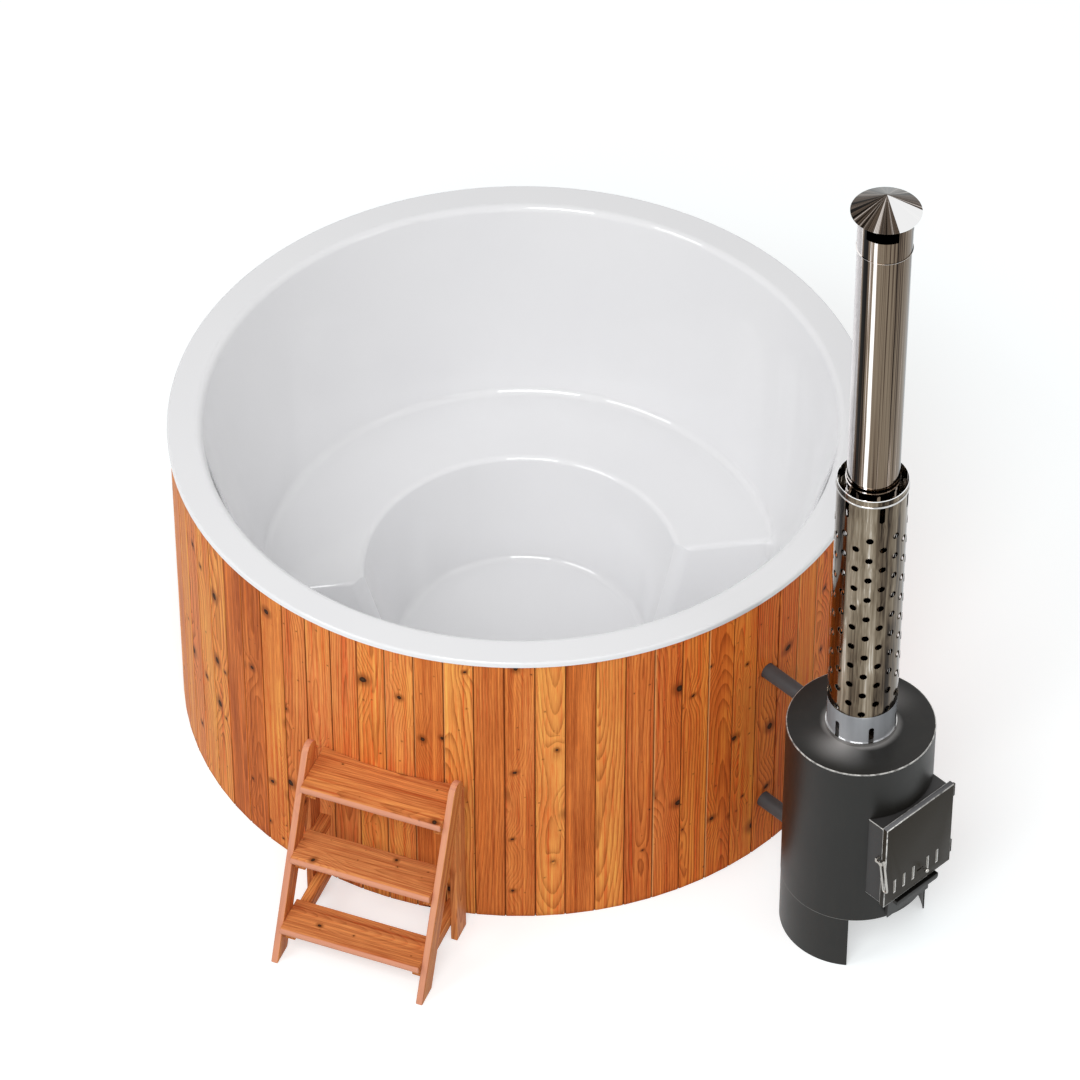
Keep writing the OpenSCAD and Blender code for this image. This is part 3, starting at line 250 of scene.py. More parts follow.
# Each noise in the wood: its rate across, along and into the board, its shift from board to board, its detail
# and its roughness
woodNoises = {
    "drift": (7.0, 2.4, 6.0, 3.7, 2.0, 0.4),
    "ripple": (34.0, 11.0, 30.0, 1.3, 1.0, 0.5),
    "sway": (0.0, 1.5, 0.0, 5.1, 1.0, 0.4),
    "shake": (420.0, 14.0, 420.0, 0.0, 2.0, 0.5),
    "fibre": (620.0, 16.0, 620.0, 1.0, 3.0, 0.65),
    "streak": (105.0, 1.5, 105.0, 2.1, 3.0, 0.6),
    "cloud": (12.0, 2.6, 0.0, 2.3, 2.0, 0.5),
}
bigKnots = {"wide": 0.066, "long": 0.23, "least": 0.0030, "most": 0.0140, "share": 0.50}
pinKnots = {"wide": 0.040, "long": 0.095, "least": 0.0010, "most": 0.0026, "share": 0.30}
knotShape = {
    "shift": 7.31, "slide": 9.0, "scatter": 0.9, "sizeCurve": 1.8,
    "squeezeLeast": 0.72, "squeezeSpread": 0.55, "tilt": 0.8, "shear": 0.3,
    "wobble": 0.005, "wobbleAcross": 130.0, "wobbleAlong": 90.0, "wobbleDetail": 3.0,
    # where each part begins and where it is full, in radii of the knot
    "core": (1.05, 0.75), "heart": (0.6, 0.1), "halo": (3.1, 0.9),
    "coreTrim": 0.0003, "haloSpare": 0.001,
    "push": 3.4, "pushReach": 5.0, "pushLong": 2.4,
}


def knots(net, across, along, board, luck, look, share, scale):
    # One knot in some cells of a stretched pattern: its dark core, its halo, and how far it pushes the rings
    shape = knotShape
    wide, long = look["wide"], look["long"]
    spot = net.vector(across / wide + board * shape["shift"], along / long + luck * shape["slide"], 0.0)
    cells = net.add("ShaderNodeTexVoronoi", {"voronoi_dimensions": "2D", "feature": "F1"},
                    {"Vector": spot, "Scale": 1.0, "Randomness": shape["scatter"]})
    sizeLuck, thereLuck, bendLuck = net.splitColour(cells.out("Color"))
    away = net.add("ShaderNodeVectorMath", {"operation": "SUBTRACT"}, {0: spot, 1: cells.out("Position")})
    gapAcross, gapAlong, _ = net.split(away)
    straightAcross, straightAlong = gapAcross * wide, gapAlong * long
    squeeze = shape["squeezeLeast"] + bendLuck * shape["squeezeSpread"]
    tilt = (bendLuck - 0.5) * shape["tilt"]
    offAcross = straightAcross + straightAlong * tilt * shape["shear"]
    offAlong = (straightAlong - straightAcross * tilt) * squeeze
    wobbleSpot = net.vector(across * shape["wobbleAcross"], along * shape["wobbleAlong"], board)
    wobble = net.noise(wobbleSpot, detail=shape["wobbleDetail"]) - 0.5
    far = (offAcross * offAcross + offAlong * offAlong) ** 0.5 + wobble * shape["wobble"]
    there = thereLuck > (1.0 - share)
    size = (look["least"] + (look["most"] - look["least"]) * sizeLuck ** shape["sizeCurve"]) * there * scale
    reach = size * shape["pushReach"] + shape["haloSpare"]
    fall = (offAcross / reach) ** 2.0 + (offAlong / (reach * shape["pushLong"])) ** 2.0
    coreFrom, coreFull = shape["core"]
    heartFrom, heartFull = shape["heart"]
    haloFrom, haloFull = shape["halo"]
    return {"core": net.fit(far, size * coreFrom, size * coreFull - shape["coreTrim"]),
            "heart": net.fit(far, size * heartFrom, size * heartFull) * there,
            "halo": net.fit(far, size * haloFrom + shape["haloSpare"], size * haloFull) * there,
            "push": size * shape["push"] * net.calc("EXPONENT", -fall)}


def grain(net, across, along, deep, board, knotty=1.0, knotScale=1.0):
    # A board cut from a log: rings round a pith that wanders behind its face, pushed aside by knots
    shape = logShape

    def draws(seed):
        luck = net.add("ShaderNodeTexWhiteNoise", {"noise_dimensions": "1D"}, {"W": seed}, out="Color")
        return net.splitColour(luck)

    def noise(name, slide=0.0):
        rateAcross, rateAlong, rateDeep, shift, detail, rough = woodNoises[name]
        spot = net.vector(across * rateAcross, along * rateAlong + slide, deep * rateDeep + board * shift)
        return net.noise(spot, detail=detail, rough=rough)

    # Six random draws for each board
    one, two, three = draws(board)
    four, five, six = draws(board + shape["secondDraw"])
    share = (five > shape["clearBoards"]) * knotty
    big = knots(net, across, along, board, three, bigKnots, share * bigKnots["share"], knotScale)
    pins = knots(net, across, along, board + shape["pinShift"], one, pinKnots, share * pinKnots["share"], 1.0)

    drift = noise("drift", two * shape["driftSlide"]) - 0.5
    ripple = noise("ripple") - 0.5
    sway = noise("sway", one * shape["swaySlide"]) - 0.5
    shake = noise("shake") - 0.5
    fromPith = across - (one - 0.5) * shape["pithAside"] - sway * shape["swayAside"]
    slant = (along - 0.5) * (three - 0.5) * shape["slant"]
    depth = shape["pithNearest"] + two * shape["pithDepth"] - deep + slant + sway * shape["swayDepth"]
    ringAt = (fromPith * fromPith + depth * depth) ** 0.5
    ringAt = ringAt + drift * shape["drift"] + ripple * shape["ripple"] + big["push"]
    ringGap = shape["ringGap"] * (shape["gapLeast"] + shape["gapSpread"] * four)
    phase = (ringAt / ringGap + shake * shape["shake"]) % 1.0
    late = phase ** shape["lateCurve"] * net.fit(phase, 1.0, shape["lateEnd"])
    return {"late": late, "fibre": noise("fibre"), "streak": noise("streak"), "cloud": noise("cloud"),
            "big": big, "pins": pins, "litLuck": three, "ringLuck": four, "jointLuck": five, "toneLuck": six}


def woodColour(net, g, wash=0.0, depth=0.0):
    boardTones = [(at, cedar[name]) for at, name in cedar["boardTones"]]
    base = net.ramp(g["toneLuck"] + (g["cloud"] - 0.5) * cedar["cloudSpread"], boardTones)
    if wash:
        base = net.blend(wash, base, cedar["washTone"])
    strength = cedar["lateLeast"] + g["ringLuck"] * cedar["lateSpread"] + depth
    colour = net.blend(g["late"] * strength, base, cedar["lateTone"])
    lineAt = g["fibre"] * cedar["fibreShare"] + g["streak"] * cedar["streakShare"]
    lines = net.ramp(lineAt, cedar["lineTones"])
    colour = net.blend(cedar["lineAmount"], colour, lines, "OVERLAY")
    for kind, layer, amount, layerTone in cedar["knotLayers"]:
        colour = net.blend(g[kind][layer] * amount, colour, layerTone)
    return colour


def woodRelief(net, g, strength):
    height = g["late"] * cedar["lateRelief"] + g["fibre"] * cedar["fibreRelief"]
    return bumped(net, height - g["big"]["core"] * cedar["knotRelief"], cedar["reliefDepth"], strength)


wallLook = {
    "boards": 74,
    "radius": 0.992,
    "firstDraw": 50.0,
    # the boards towards the stove are darker and their rings stronger, partly wood darkened by its warmth and
    # partly painted shade on the side away from the light: the turn where that begins, is full and ends
    "warmShadeTone": tone(255, 224, 192), "warmShadeRings": 0.16,
    "warmShadeFrom": -0.62, "warmShadeFull": -0.15, "warmShadeFades": 1.0, "warmShadeTo": 1.8,
    # across each board, from its middle: where the painted highlight along one edge of some boards lies, and
    # the dark joint
    "litTone": tone(246, 186, 122),
    "litFrom": -0.0375, "litFull": -0.0392, "litAmount": 0.5, "unlitBoards": 0.45,
    "jointTone": tone(64, 26, 10),
    "jointFrom": 0.0394, "jointFull": 0.0412, "jointLeast": 0.5, "jointSpread": 0.34,
    # painted shade at the foot of the wall: darker towards the floor
    "footShadeHeight": 0.03, "footShadeAmount": 0.35, "footShadeRagged": 0.02,
    "smoother": 0.04, "ringRoughness": 0.1, "knotRoughness": 0.15, "relief": 0.55,
}


def wallWood():
    look = wallLook
    made, net = newMaterial("cedarWall")
    x, y, z = net.split(place(net))
    step = 2 * math.pi / look["boards"]
    turn = net.calc("ARCTAN2", y, x)
    board = net.calc("ROUND", turn / step)
    across = (turn - board * step) * look["radius"]
    deep = (x * x + y * y) ** 0.5 - look["radius"]
    # The board where the turn runs over is one board, with one draw
    whole = board - look["boards"] * (board > look["boards"] / 2 - 0.5)
    g = grain(net, across, z, deep, whole + look["firstDraw"])
    # painted shade, partly heat-darkened wood: darker boards and stronger rings towards the stove
    warmShade = net.fit(turn, look["warmShadeFrom"], look["warmShadeFull"])
    warmShade = warmShade * net.fit(turn, look["warmShadeTo"], look["warmShadeFades"])
    colour = woodColour(net, g, depth=warmShade * look["warmShadeRings"])
    colour = net.blend(warmShade, colour, look["warmShadeTone"], "MULTIPLY")
    # painted highlight: a paler line along one edge of some boards, where the bevel would catch the light
    lit = net.fit(across, look["litFrom"], look["litFull"]) * (g["litLuck"] > look["unlitBoards"])
    colour = net.blend(lit * look["litAmount"], colour, look["litTone"])
    joint = net.fit(abs(across), look["jointFrom"], look["jointFull"])
    joint = joint * (look["jointLeast"] + g["jointLuck"] * look["jointSpread"])
    colour = net.blend(joint, colour, look["jointTone"])
    # painted shade: the boards darken towards the floor, where the wall stands on it
    footShade = net.fit(z + g["cloud"] * look["footShadeRagged"], look["footShadeHeight"], 0.0)
    colour = net.blend(footShade * look["footShadeAmount"], colour, look["jointTone"])
    rough = cedar["roughness"] + g["late"] * look["ringRoughness"] + g["big"]["core"] * look["knotRoughness"]
    close(net, {"Base Color": colour, "Roughness": rough - look["smoother"],
                "Specular IOR Level": cedar["gloss"], "Normal": woodRelief(net, g, look["relief"])})
    return made


# The steps' own frame points away from the tub: a tread is so far out, so high up, and then its random draw
steps = {
    "turn": -65.0,
    "lean": 23.6,
    "halfWidth": 0.2285,
    "board": 0.020,
    "front": 1.342,
    "halfTread": 0.014,
    "overhang": 0.03,
    "treads": {"tread_top": (1.07, 0.506, 3), "tread_middle": (1.17, 0.307, 7),
               "tread_bottom": (1.257, 0.108, 11)},
    # which side each stands on, and its random draw
    "sides": {"step_side_left": (-1, 21), "step_side_right": (1, 26)},
    "posts": {"step_post_left": (-1, 33), "step_post_right": (1, 35)},
    "bearerDraw": 44,
    "sideMiddle": (1.152, 0.31), "postMiddle": (1.044, 0.25), "bearerMiddle": (1.15, 0.19, 0.27),
}
stepLook = {
    # painted highlight: pale pink on the treads' front edges and on the side boards' thin faces
    "edgeHighlightTone": tone(222, 158, 132),
    "nosingFrom": 0.0062, "nosingFull": 0.0026, "nosingHighlightAmount": 0.78,     # from the tread's front edge
    "flat": 0.75, "edgeOn": 0.35, "edgeHighlightAmount": 0.72,                     # of the side boards' thin faces
    "wash": 0.42, "knotty": 1.2, "knotScale": 0.55,
    "smoother": 0.05, "ringRoughness": 0.08, "relief": 0.5,
}


def boardWood(name, across, along, middle, draw, nosing=None, highlightEdges=False):
    # One board of the steps: directions across and along it, its middle, its random draw and where a painted
    # highlight goes on its edges
    look = stepLook
    made, net = newMaterial(name + "Wood")
    across, along = Vector(across).normalized(), Vector(along).normalized()
    deep = across.cross(along)
    turn = Matrix((across, along, deep))
    shift = -(turn @ Vector(middle))
    local = net.add("ShaderNodeMapping", {"vector_type": "POINT"},
                    {"Vector": place(net), "Location": shift, "Rotation": turn.to_euler()})
    u, v, w = net.split(local)
    g = grain(net, u, v + 0.5, w, draw, look["knotty"], look["knotScale"])
    colour = woodColour(net, g, look["wash"])
    # painted highlight on the side boards' thin faces
    if highlightEdges:
        facing = net.add("ShaderNodeTexCoord", out="Normal")
        flat = net.add("ShaderNodeVectorMath", {"operation": "DOT_PRODUCT"},
                       {0: facing, 1: deep}, out="Value")
        pale = net.fit(abs(flat), look["flat"], look["edgeOn"]) * look["edgeHighlightAmount"]
        colour = net.blend(pale, colour, look["edgeHighlightTone"])
    # painted highlight along the tread's front edge
    if nosing is not None:
        pale = net.fit(u, nosing - look["nosingFrom"], nosing - look["nosingFull"]) * look["nosingHighlightAmount"]
        colour = net.blend(pale, colour, look["edgeHighlightTone"])
    rough = cedar["roughness"] - look["smoother"] + g["late"] * look["ringRoughness"]
    close(net, {"Base Color": colour, "Roughness": rough,
                "Specular IOR Level": cedar["gloss"], "Normal": woodRelief(net, g, look["relief"])})
    return made


def stepsVector(out, side, up):
    a = math.radians(steps["turn"])
    return Vector((out * math.cos(a) - side * math.sin(a), out * math.sin(a) + side * math.cos(a), up))


def finishSteps():
    sideways = stepsVector(0, 1, 0)
    outward = stepsVector(1, 0, 0)
    lean = math.radians(steps["lean"])
    rising = stepsVector(-math.sin(lean), 0, math.cos(lean))
    facing = stepsVector(math.cos(lean), 0, math.sin(lean))
    boardMiddle = steps["halfWidth"] - steps["board"] / 2
    for name, (out, up, draw) in steps["treads"].items():
        nosing = steps["front"] - (up + steps["halfTread"]) * math.tan(lean) + steps["overhang"] - out
        setMaterial(name, boardWood(name, outward, -sideways, stepsVector(out, 0, up), draw, nosing=nosing))
    for name, (side, draw) in steps["sides"].items():
        out, up = steps["sideMiddle"]
        middle = stepsVector(out, side * boardMiddle, up)
        setMaterial(name, boardWood(name, facing, rising, middle, draw, highlightEdges=True))
    for name, (side, draw) in steps["posts"].items():
        out, up = steps["postMiddle"]
        setMaterial(name, boardWood(name, outward, (0, 0, 1), stepsVector(out, side * boardMiddle, up), draw))
    bearerMiddle = stepsVector(*steps["bearerMiddle"])
    setMaterial("step_bearers", boardWood("bearer", (0, 0, 1), outward, bearerMiddle, steps["bearerDraw"]))


basinLook = {
    "tone": tone(236, 236, 237), "shade": tone(232, 232, 234),
    "cloudScale": 3.2, "cloudRoughness": 0.04, "fineScale": 900.0, "fineRoughness": 0.02,
    "roughness": 0.045, "coat": 0.6, "coatRoughness": 0.015, "ior": 1.5,
    "waviness": 0.0003, "rippleScale": 11.0, "ripple": 0.15, "relief": 0.6,
}


def gelcoat():
    look = basinLook
    made, net = newMaterial("basinGelcoat")
    where = place(net)
    cloud = net.noise(where, look["cloudScale"], rough=0.4)
    fine = net.noise(where, look["fineScale"], detail=1.0)
    ripple = net.noise(where, look["rippleScale"], detail=1.0)
    rough = look["roughness"] + (cloud - 0.5) * look["cloudRoughness"] + (fine - 0.5) * look["fineRoughness"]
    close(net, {"Base Color": net.blend(cloud, look["tone"], look["shade"]), "Roughness": rough,
                "Coat Weight": look["coat"], "Coat Roughness": look["coatRoughness"], "IOR": look["ior"],
                "Normal": bumped(net, cloud + ripple * look["ripple"], look["waviness"], look["relief"])})
    return made


paintLook = {
    # the door's brown is a painted reflection of the warm floor and wood it faces, and the neck's lighter
    # grey is a painted reflection on its lit side
    "bodyTone": tone(28, 27, 25), "doorTone": tone(41, 35, 26), "neckTone": tone(50, 49, 49),
    "bodyGloss": 0.28, "doorGloss": 0.13, "neckGloss": 0.28,
    "dustTone": tone(41, 39, 35), "bleachAndSheenTone": tone(176, 174, 172), "seamHighlightTone": tone(168, 166, 163),
    "roughness": 0.4, "cloudRoughness": 0.16, "peelRoughness": 0.06, "ior": 1.5,
    "peelScale": 900.0, "cloudScale": 5.0, "wipeScale": 4.0, "wipeStretch": (6.0, 6.0, 1.2),
    "wipeFrom": 0.42, "wipeFull": 0.8, "dustHigh": 0.17, "dustLow": 0.03, "dustRagged": 0.12, "dust": 0.35,
    "peelDepth": 0.0002, "relief": 0.35,
}
# The lid, with a painted sheen and a pale ring round the flue that is partly paint bleached by heat and
# partly painted sheen, and a painted highlight along the weld seam above the leg ring
lidLook = {
    "axis": (1.351, 0.0), "radius": 0.206, "top": 0.763, "topFrom": 0.0012, "topFull": 0.0004,
    "sheenTurn": math.radians(-78.0), "sheenCurve": 9.0, "sheenFrom": 0.2, "sheenFull": 0.1, "sheen": 0.6,
    "heatFrom": 0.118, "heatFull": 0.097, "heatRagged": 0.02, "heat": 0.4,
    "seamHeight": 0.185, "seamFrom": 0.0017, "seamFull": 0.0007, "seamHighlight": 0.45, "seamSpare": 0.004,
}
# The air slots in the door's lower part, through which the slide shows, their walls painted near white as a
# painted reflection, and the door's top edge, painted a lighter grey as a painted highlight
slotLook = {
    "places": (-0.091, -0.054, -0.017, 0.040, 0.077), "halfWidth": 0.0056, "low": 0.3275, "high": 0.3805,
    "face": 1.5874, "tone": tone(246, 246, 244),
    "top": 0.6008, "topBlur": 0.0008, "topHighlightTone": tone(104, 104, 106),
}


def stovePaint(part, slots=False):
    # Heat-resistant satin paint with a fine orange peel, wiped thin in places and dusty low down
    look = paintLook
    made, net = newMaterial("stovePaint" if part == "body" else part + "Paint")
    where = place(net)
    x, y, z = net.split(where)
    peel = net.noise(where, look["peelScale"], rough=0.6)
    cloud = net.noise(where, look["cloudScale"], detail=4.0, rough=0.6)
    wipe = net.noise(net.stretch(where, look["wipeStretch"]), look["wipeScale"], detail=4.0, rough=0.7)
    dusty = net.fit(wipe, look["wipeFrom"], look["wipeFull"]) * look["dust"]
    dusty = dusty + net.fit(z + cloud * look["dustRagged"], look["dustHigh"], look["dustLow"]) * look["dust"]
    # for the door and neck this tone carries a painted reflection
    colour = net.blend(dusty, look[part + "Tone"], look["dustTone"])
    colour = slotColour(net, colour, x, y, z) if slots else lidColour(net, colour, cloud, x, y, z)
    rough = look["roughness"] + (cloud - 0.5) * look["cloudRoughness"] + (peel - 0.5) * look["peelRoughness"]
    close(net, {"Base Color": colour, "Roughness": rough, "IOR": look["ior"],
                "Specular IOR Level": look[part + "Gloss"],
                "Normal": bumped(net, peel, look["peelDepth"], look["relief"])})
    return made


def slotColour(net, colour, x, y, z):
    inside = (z > slotLook["low"]) * (z < slotLook["high"]) * (x < slotLook["face"])
    near = 0.0
    for side in slotLook["places"]:
        near = (abs(y - side) < slotLook["halfWidth"]) + near
    # the slot walls painted near white: a painted reflection
    colour = net.blend(inside * near, colour, slotLook["tone"])
    # painted highlight: the door's top face a lighter grey
    top = net.fit(z, slotLook["top"] - slotLook["topBlur"], slotLook["top"])
    return net.blend(top, colour, slotLook["topHighlightTone"])


def lidColour(net, colour, cloud, x, y, z):
    look = lidLook
    x = x - look["axis"][0]
    out = (x * x + y * y) ** 0.5
    turn = net.calc("ARCTAN2", y, x)
    onLid = net.fit(z, look["top"] - look["topFrom"], look["top"] - look["topFull"])
    # painted sheen on the lid to either side of the flue
    sheen = abs(net.calc("COSINE", turn - look["sheenTurn"])) ** look["sheenCurve"]
    sheen = sheen * net.fit(out, look["sheenFrom"], look["sheenFull"]) * look["sheen"]
    # a pale ring round the flue: partly paint bleached by heat, partly painted sheen
    ragged = out + (cloud - 0.5) * look["heatRagged"]
    heat = net.fit(ragged, look["heatFrom"], look["heatFull"]) * look["heat"]
    colour = net.blend(net.calc("MAXIMUM", sheen, heat) * onLid, colour, paintLook["bleachAndSheenTone"])
    # painted highlight: a thin light line along the weld seam
    seamHighlight = net.fit(abs(z - look["seamHeight"]), look["seamFrom"], look["seamFull"])
    seamHighlight = seamHighlight * (out < look["radius"] + look["seamSpare"])
    return net.blend(seamHighlight * look["seamHighlight"], colour, paintLook["seamHighlightTone"])


# the painted highlight on rounded edges: its dim and full tones
edgeHighlightLook = {
    "dimHighlightTone": tone(118, 116, 113), "fullHighlightTone": tone(206, 204, 200), "scale": 55.0, "from": 0.3, "full": 0.6,
    "metallic": 0.3, "roughness": 0.32, "mottleRoughness": 0.2, "depth": 0.0001, "relief": 0.3,
}


def wornEdge():
    # Painted highlight on the rounded edges: pale grey to near white paint that stands in for the light the
    # edges catch
    look = edgeHighlightLook
    made, net = newMaterial("wornEdge")
    mottle = net.noise(place(net), look["scale"], detail=3.0, rough=0.6)
    worn = net.fit(mottle, look["from"], look["full"])
    close(net, {"Base Color": net.blend(worn, look["dimHighlightTone"], look["fullHighlightTone"]),
                "Metallic": look["metallic"],
                "Roughness": look["roughness"] + (mottle - 0.5) * look["mottleRoughness"],
                "Normal": bumped(net, mottle, look["depth"], look["relief"])})
    return made


# Heat-scaled sheet and casting inside the stove, and what both share
scaledLook = {"tone": tone(46, 44, 43), "rustTone": tone(88, 62, 46), "roughness": 0.62, "scale": 26.0}
castLook = {"tone": tone(40, 40, 42), "rustTone": tone(74, 58, 48), "roughness": 0.7, "scale": 60.0}
scabLook = {
    "rustFrom": 0.48, "rustFull": 0.72, "rust": 0.6, "metallic": 0.35,
    "dustRate": 7.0, "dustRoughness": 0.2, "dustRelief": 0.3, "depth": 0.0006, "relief": 0.5,
}


def darkSteel(name, look):
    made, net = newMaterial(name)
    where = place(net)
    scab = net.noise(where, look["scale"], detail=6.0, rough=0.65)
    dust = net.noise(where, look["scale"] * scabLook["dustRate"], detail=3.0, rough=0.6)
    rusty = net.fit(scab, scabLook["rustFrom"], scabLook["rustFull"]) * scabLook["rust"]
    height = scab + dust * scabLook["dustRelief"]
    close(net, {"Base Color": net.blend(rusty, look["tone"], look["rustTone"]),
                "Metallic": scabLook["metallic"],
                "Roughness": look["roughness"] + (dust - 0.5) * scabLook["dustRoughness"],
                "Normal": bumped(net, height, scabLook["depth"], scabLook["relief"])})
    return made


# Polished sheet with painted reflections: the dark and light tones of the reflections painted round the tube,
# how fast they change round it and up it, and the broad stripes of painted reflection, each with its middle
# and half-width in degrees and its strength
flueSheet = {
    "stops": [(0.40, tone(14, 11, 9)), (0.45, tone(60, 48, 40)), (0.49, tone(104, 89, 75)),
              (0.54, tone(126, 112, 96)), (0.58, tone(88, 72, 60)), (0.61, tone(206, 188, 176)),
              (0.65, tone(252, 248, 246))],
    "round": 2.7, "up": 0.3,
    "stripes": [(-64.0, 5.5, 0.13), (-84.0, 11.0, -0.2), (-122.0, 30.0, 0.32), (-17.0, 3.0, -0.12),
                (33.0, 12.0, -0.14), (88.0, 7.0, 0.12), (150.0, 12.0, -0.13), (-150.0, 7.0, 0.12)],
}
# the cowl has a painted highlight line at its lower edge
cowlSheet = dict(flueSheet, edge=2.4815)
guardSheet = {
    "stops": [(0.38, tone(40, 33, 27)), (0.46, tone(88, 76, 63)), (0.54, tone(118, 106, 90)),
              (0.62, tone(146, 134, 118)), (0.72, tone(232, 226, 218))],
    "round": 2.4, "up": 1.4, "wave": 0.16, "edge": 1.6770,
    # below the collar height the guard is painted silver and less metallic: a painted reflection of the lid
    "collar": 0.873, "collarReflectionTones": (tone(150, 152, 156), tone(222, 224, 228)),     # duller below this height
}
capSheet = {
    "stops": [(0.44, tone(8, 7, 7)), (0.485, tone(48, 40, 34)), (0.52, tone(104, 90, 78)),
              (0.55, tone(26, 21, 18)), (0.59, tone(112, 100, 90)), (0.65, tone(216, 208, 202))],
    "round": 7.0, "up": 0.1,
    # the cap's bright side is a painted reflection
    "lit": (-0.43, 0.81), "litTone": tone(244, 244, 244),     # the cap's bright side, between two turns
}
sheetLook = {
    "axis": (1.351, 0.0),
    "roughness": 0.08, "lineRoughness": 0.08,
    "bandShare": 0.6, "lineShare": 0.4, "lineRound": 6.0, "lineUp": 2.0, "waveRate": 9.0,
    "driftRate": 1.4, "drift": 0.12, "lineDrift": 0.2, "stripeFull": 0.4,
    "litAmount": 0.95, "collarBlur": 0.001, "collarMetal": 0.55,
    "edgeHighlightTone": tone(250, 250, 250), "edgeFrom": 0.0022, "edgeFull": 0.0010,
    "dentRound": 2.2, "dentUp": 2.0, "dentDepth": 0.004, "lineRelief": 0.02, "relief": 0.35,
}


def polishedSheet(name, piece):
    # Rolled mirror-finish sheet: the polish runs up the tube, and the sheet is never quite true. Its colour
    # is painted reflection: bands round the tube, a bright line at the edge height, a bright side on the cap
    # and silver below the guard's collar
    look = sheetLook
    made, net = newMaterial(name)
    centred = net.add("ShaderNodeMapping", {"vector_type": "POINT"},
                      {"Vector": place(net), "Location": (-look["axis"][0], -look["axis"][1], 0.0)})
    x, y, z = net.split(centred)
    size = (x * x + y * y) ** 0.5 + 0.0001     # never zero, because the next lines divide by it
    sway = (net.noise(centred, look["waveRate"], detail=1.0) - 0.5) * piece.get("wave", 0.0)
    awayX, awayY = x / size + sway, y / size - sway

    def around(rate, up):
        return net.vector(awayX * rate, awayY * rate, z * up)

    bands = net.noise(around(piece["round"], piece["up"]))
    thin = net.noise(around(piece["round"] * look["lineRound"], piece["up"] * look["lineUp"]),
                     detail=3.0, rough=0.6)
    mixAt = bands * look["bandShare"] + thin * look["lineShare"]
    turn = net.calc("ARCTAN2", y, x)
    drift = (net.noise(net.vector(0.0, 0.0, z * look["driftRate"]), detail=1.0) - 0.5) * look["drift"]
    drift = drift + (thin - 0.5) * look["lineDrift"]
    # painted reflection: broad stripes round the tube
    for centre, width, strength in piece.get("stripes", ()):
        off = abs(turn + drift - math.radians(centre))
        mixAt = mixAt + net.fit(off, math.radians(width), math.radians(width * look["stripeFull"])) * strength
    colour = net.ramp(mixAt, piece["stops"])
    metallic = 1.0
    # painted reflection: the cap's bright side
    if "lit" in piece:
        litFrom, litTo = piece["lit"]
        lit = (turn > litFrom) * (turn < litTo)
        colour = net.blend(lit * look["litAmount"], colour, piece["litTone"])
    # painted reflection of the lid: silver below the guard's collar
    if "collar" in piece:
        low = net.fit(z, piece["collar"] + look["collarBlur"], piece["collar"] - look["collarBlur"])
        colour = net.blend(low, colour, net.blend(bands, *piece["collarReflectionTones"]))
        metallic = 1.0 - low * look["collarMetal"]
    # painted highlight: a bright line round the tube at the edge height
    if "edge" in piece:
        rim = net.fit(abs(z - piece["edge"]), look["edgeFrom"], look["edgeFull"])
        colour = net.blend(rim, colour, look["edgeHighlightTone"])
    dent = net.noise(around(look["dentRound"], look["dentUp"]))
    close(net, {"Base Color": colour, "Metallic": metallic,
                "Roughness": look["roughness"] + (thin - 0.5) * look["lineRoughness"],
                "Normal": bumped(net, dent + thin * look["lineRelief"], look["dentDepth"], look["relief"])})
    return made


brights = {   # each one's tone and roughness
    "brightSteel": (tone(206, 203, 198), 0.2),
    "castBrass": (tone(196, 164, 98), 0.34),
    "mirrorTrim": (tone(246, 246, 247), 0.1),
}
brushLook = {
    "scale": 300.0, "stretch": (1.0, 1.0, 0.08), "lineRoughness": 0.16, "depth": 0.00006, "relief": 0.4,
    "smearTone": tone(150, 146, 140), "smearScale": 24.0, "smearRoughness": 0.08,
}


def brightMetal(name):
    look = brushLook
    colour, roughness = brights[name]
    made, net = newMaterial(name)
    where = place(net)
    lines = net.noise(net.stretch(where, look["stretch"]), look["scale"], detail=3.0, rough=0.7)
    smear = net.noise(where, look["smearScale"], detail=3.0)
    rough = roughness + (lines - 0.5) * look["lineRoughness"] + (smear - 0.5) * look["smearRoughness"]
    close(net, {"Base Color": net.blend(smear, colour, look["smearTone"]), "Metallic": 1.0,
                "Roughness": rough, "Normal": bumped(net, lines, look["depth"], look["relief"])})
    return made


plastics = {   # each one's two tones and its roughness
    "fittingPlastic": (tone(196, 198, 199), tone(182, 184, 186), 0.36),
    "pipeRubber": (tone(60, 62, 64), tone(76, 77, 78), 0.5),
    "dippedGrip": (tone(172, 38, 28), tone(150, 30, 24), 0.38),
}
plasticLook = {
    "speckScale": 700.0, "speckRoughness": 0.12, "cloudScale": 9.0, "cloudFrom": 0.35, "cloudFull": 0.75,
    "depth": 0.00015, "relief": 0.35, "ior": 1.5,
}


def plainPlastic(name):
    look = plasticLook
    colour, shade, roughness = plastics[name]
    made, net = newMaterial(name)
    where = place(net)
    speck = net.noise(where, look["speckScale"])
    cloud = net.fit(net.noise(where, look["cloudScale"], detail=3.0), look["cloudFrom"], look["cloudFull"])
    close(net, {"Base Color": net.blend(cloud, colour, shade), "IOR": look["ior"],
                "Roughness": roughness + (speck - 0.5) * look["speckRoughness"],
                "Normal": bumped(net, speck, look["depth"], look["relief"])})
    return made


pineLook = {
    "tone": tone(206, 170, 118), "shade": tone(184, 142, 92), "lateTone": tone(142, 92, 48), "late": 0.5,
    "knotTone": tone(70, 42, 26), "knot": 0.9, "knotty": 0.7,
    "boardRate": 2.4, "firstDraw": 9.0, "slope": 0.6,
    "roughness": 0.62, "fibreRoughness": 0.15, "lateRelief": 0.4, "depth": 0.0009, "relief": 0.6,
}


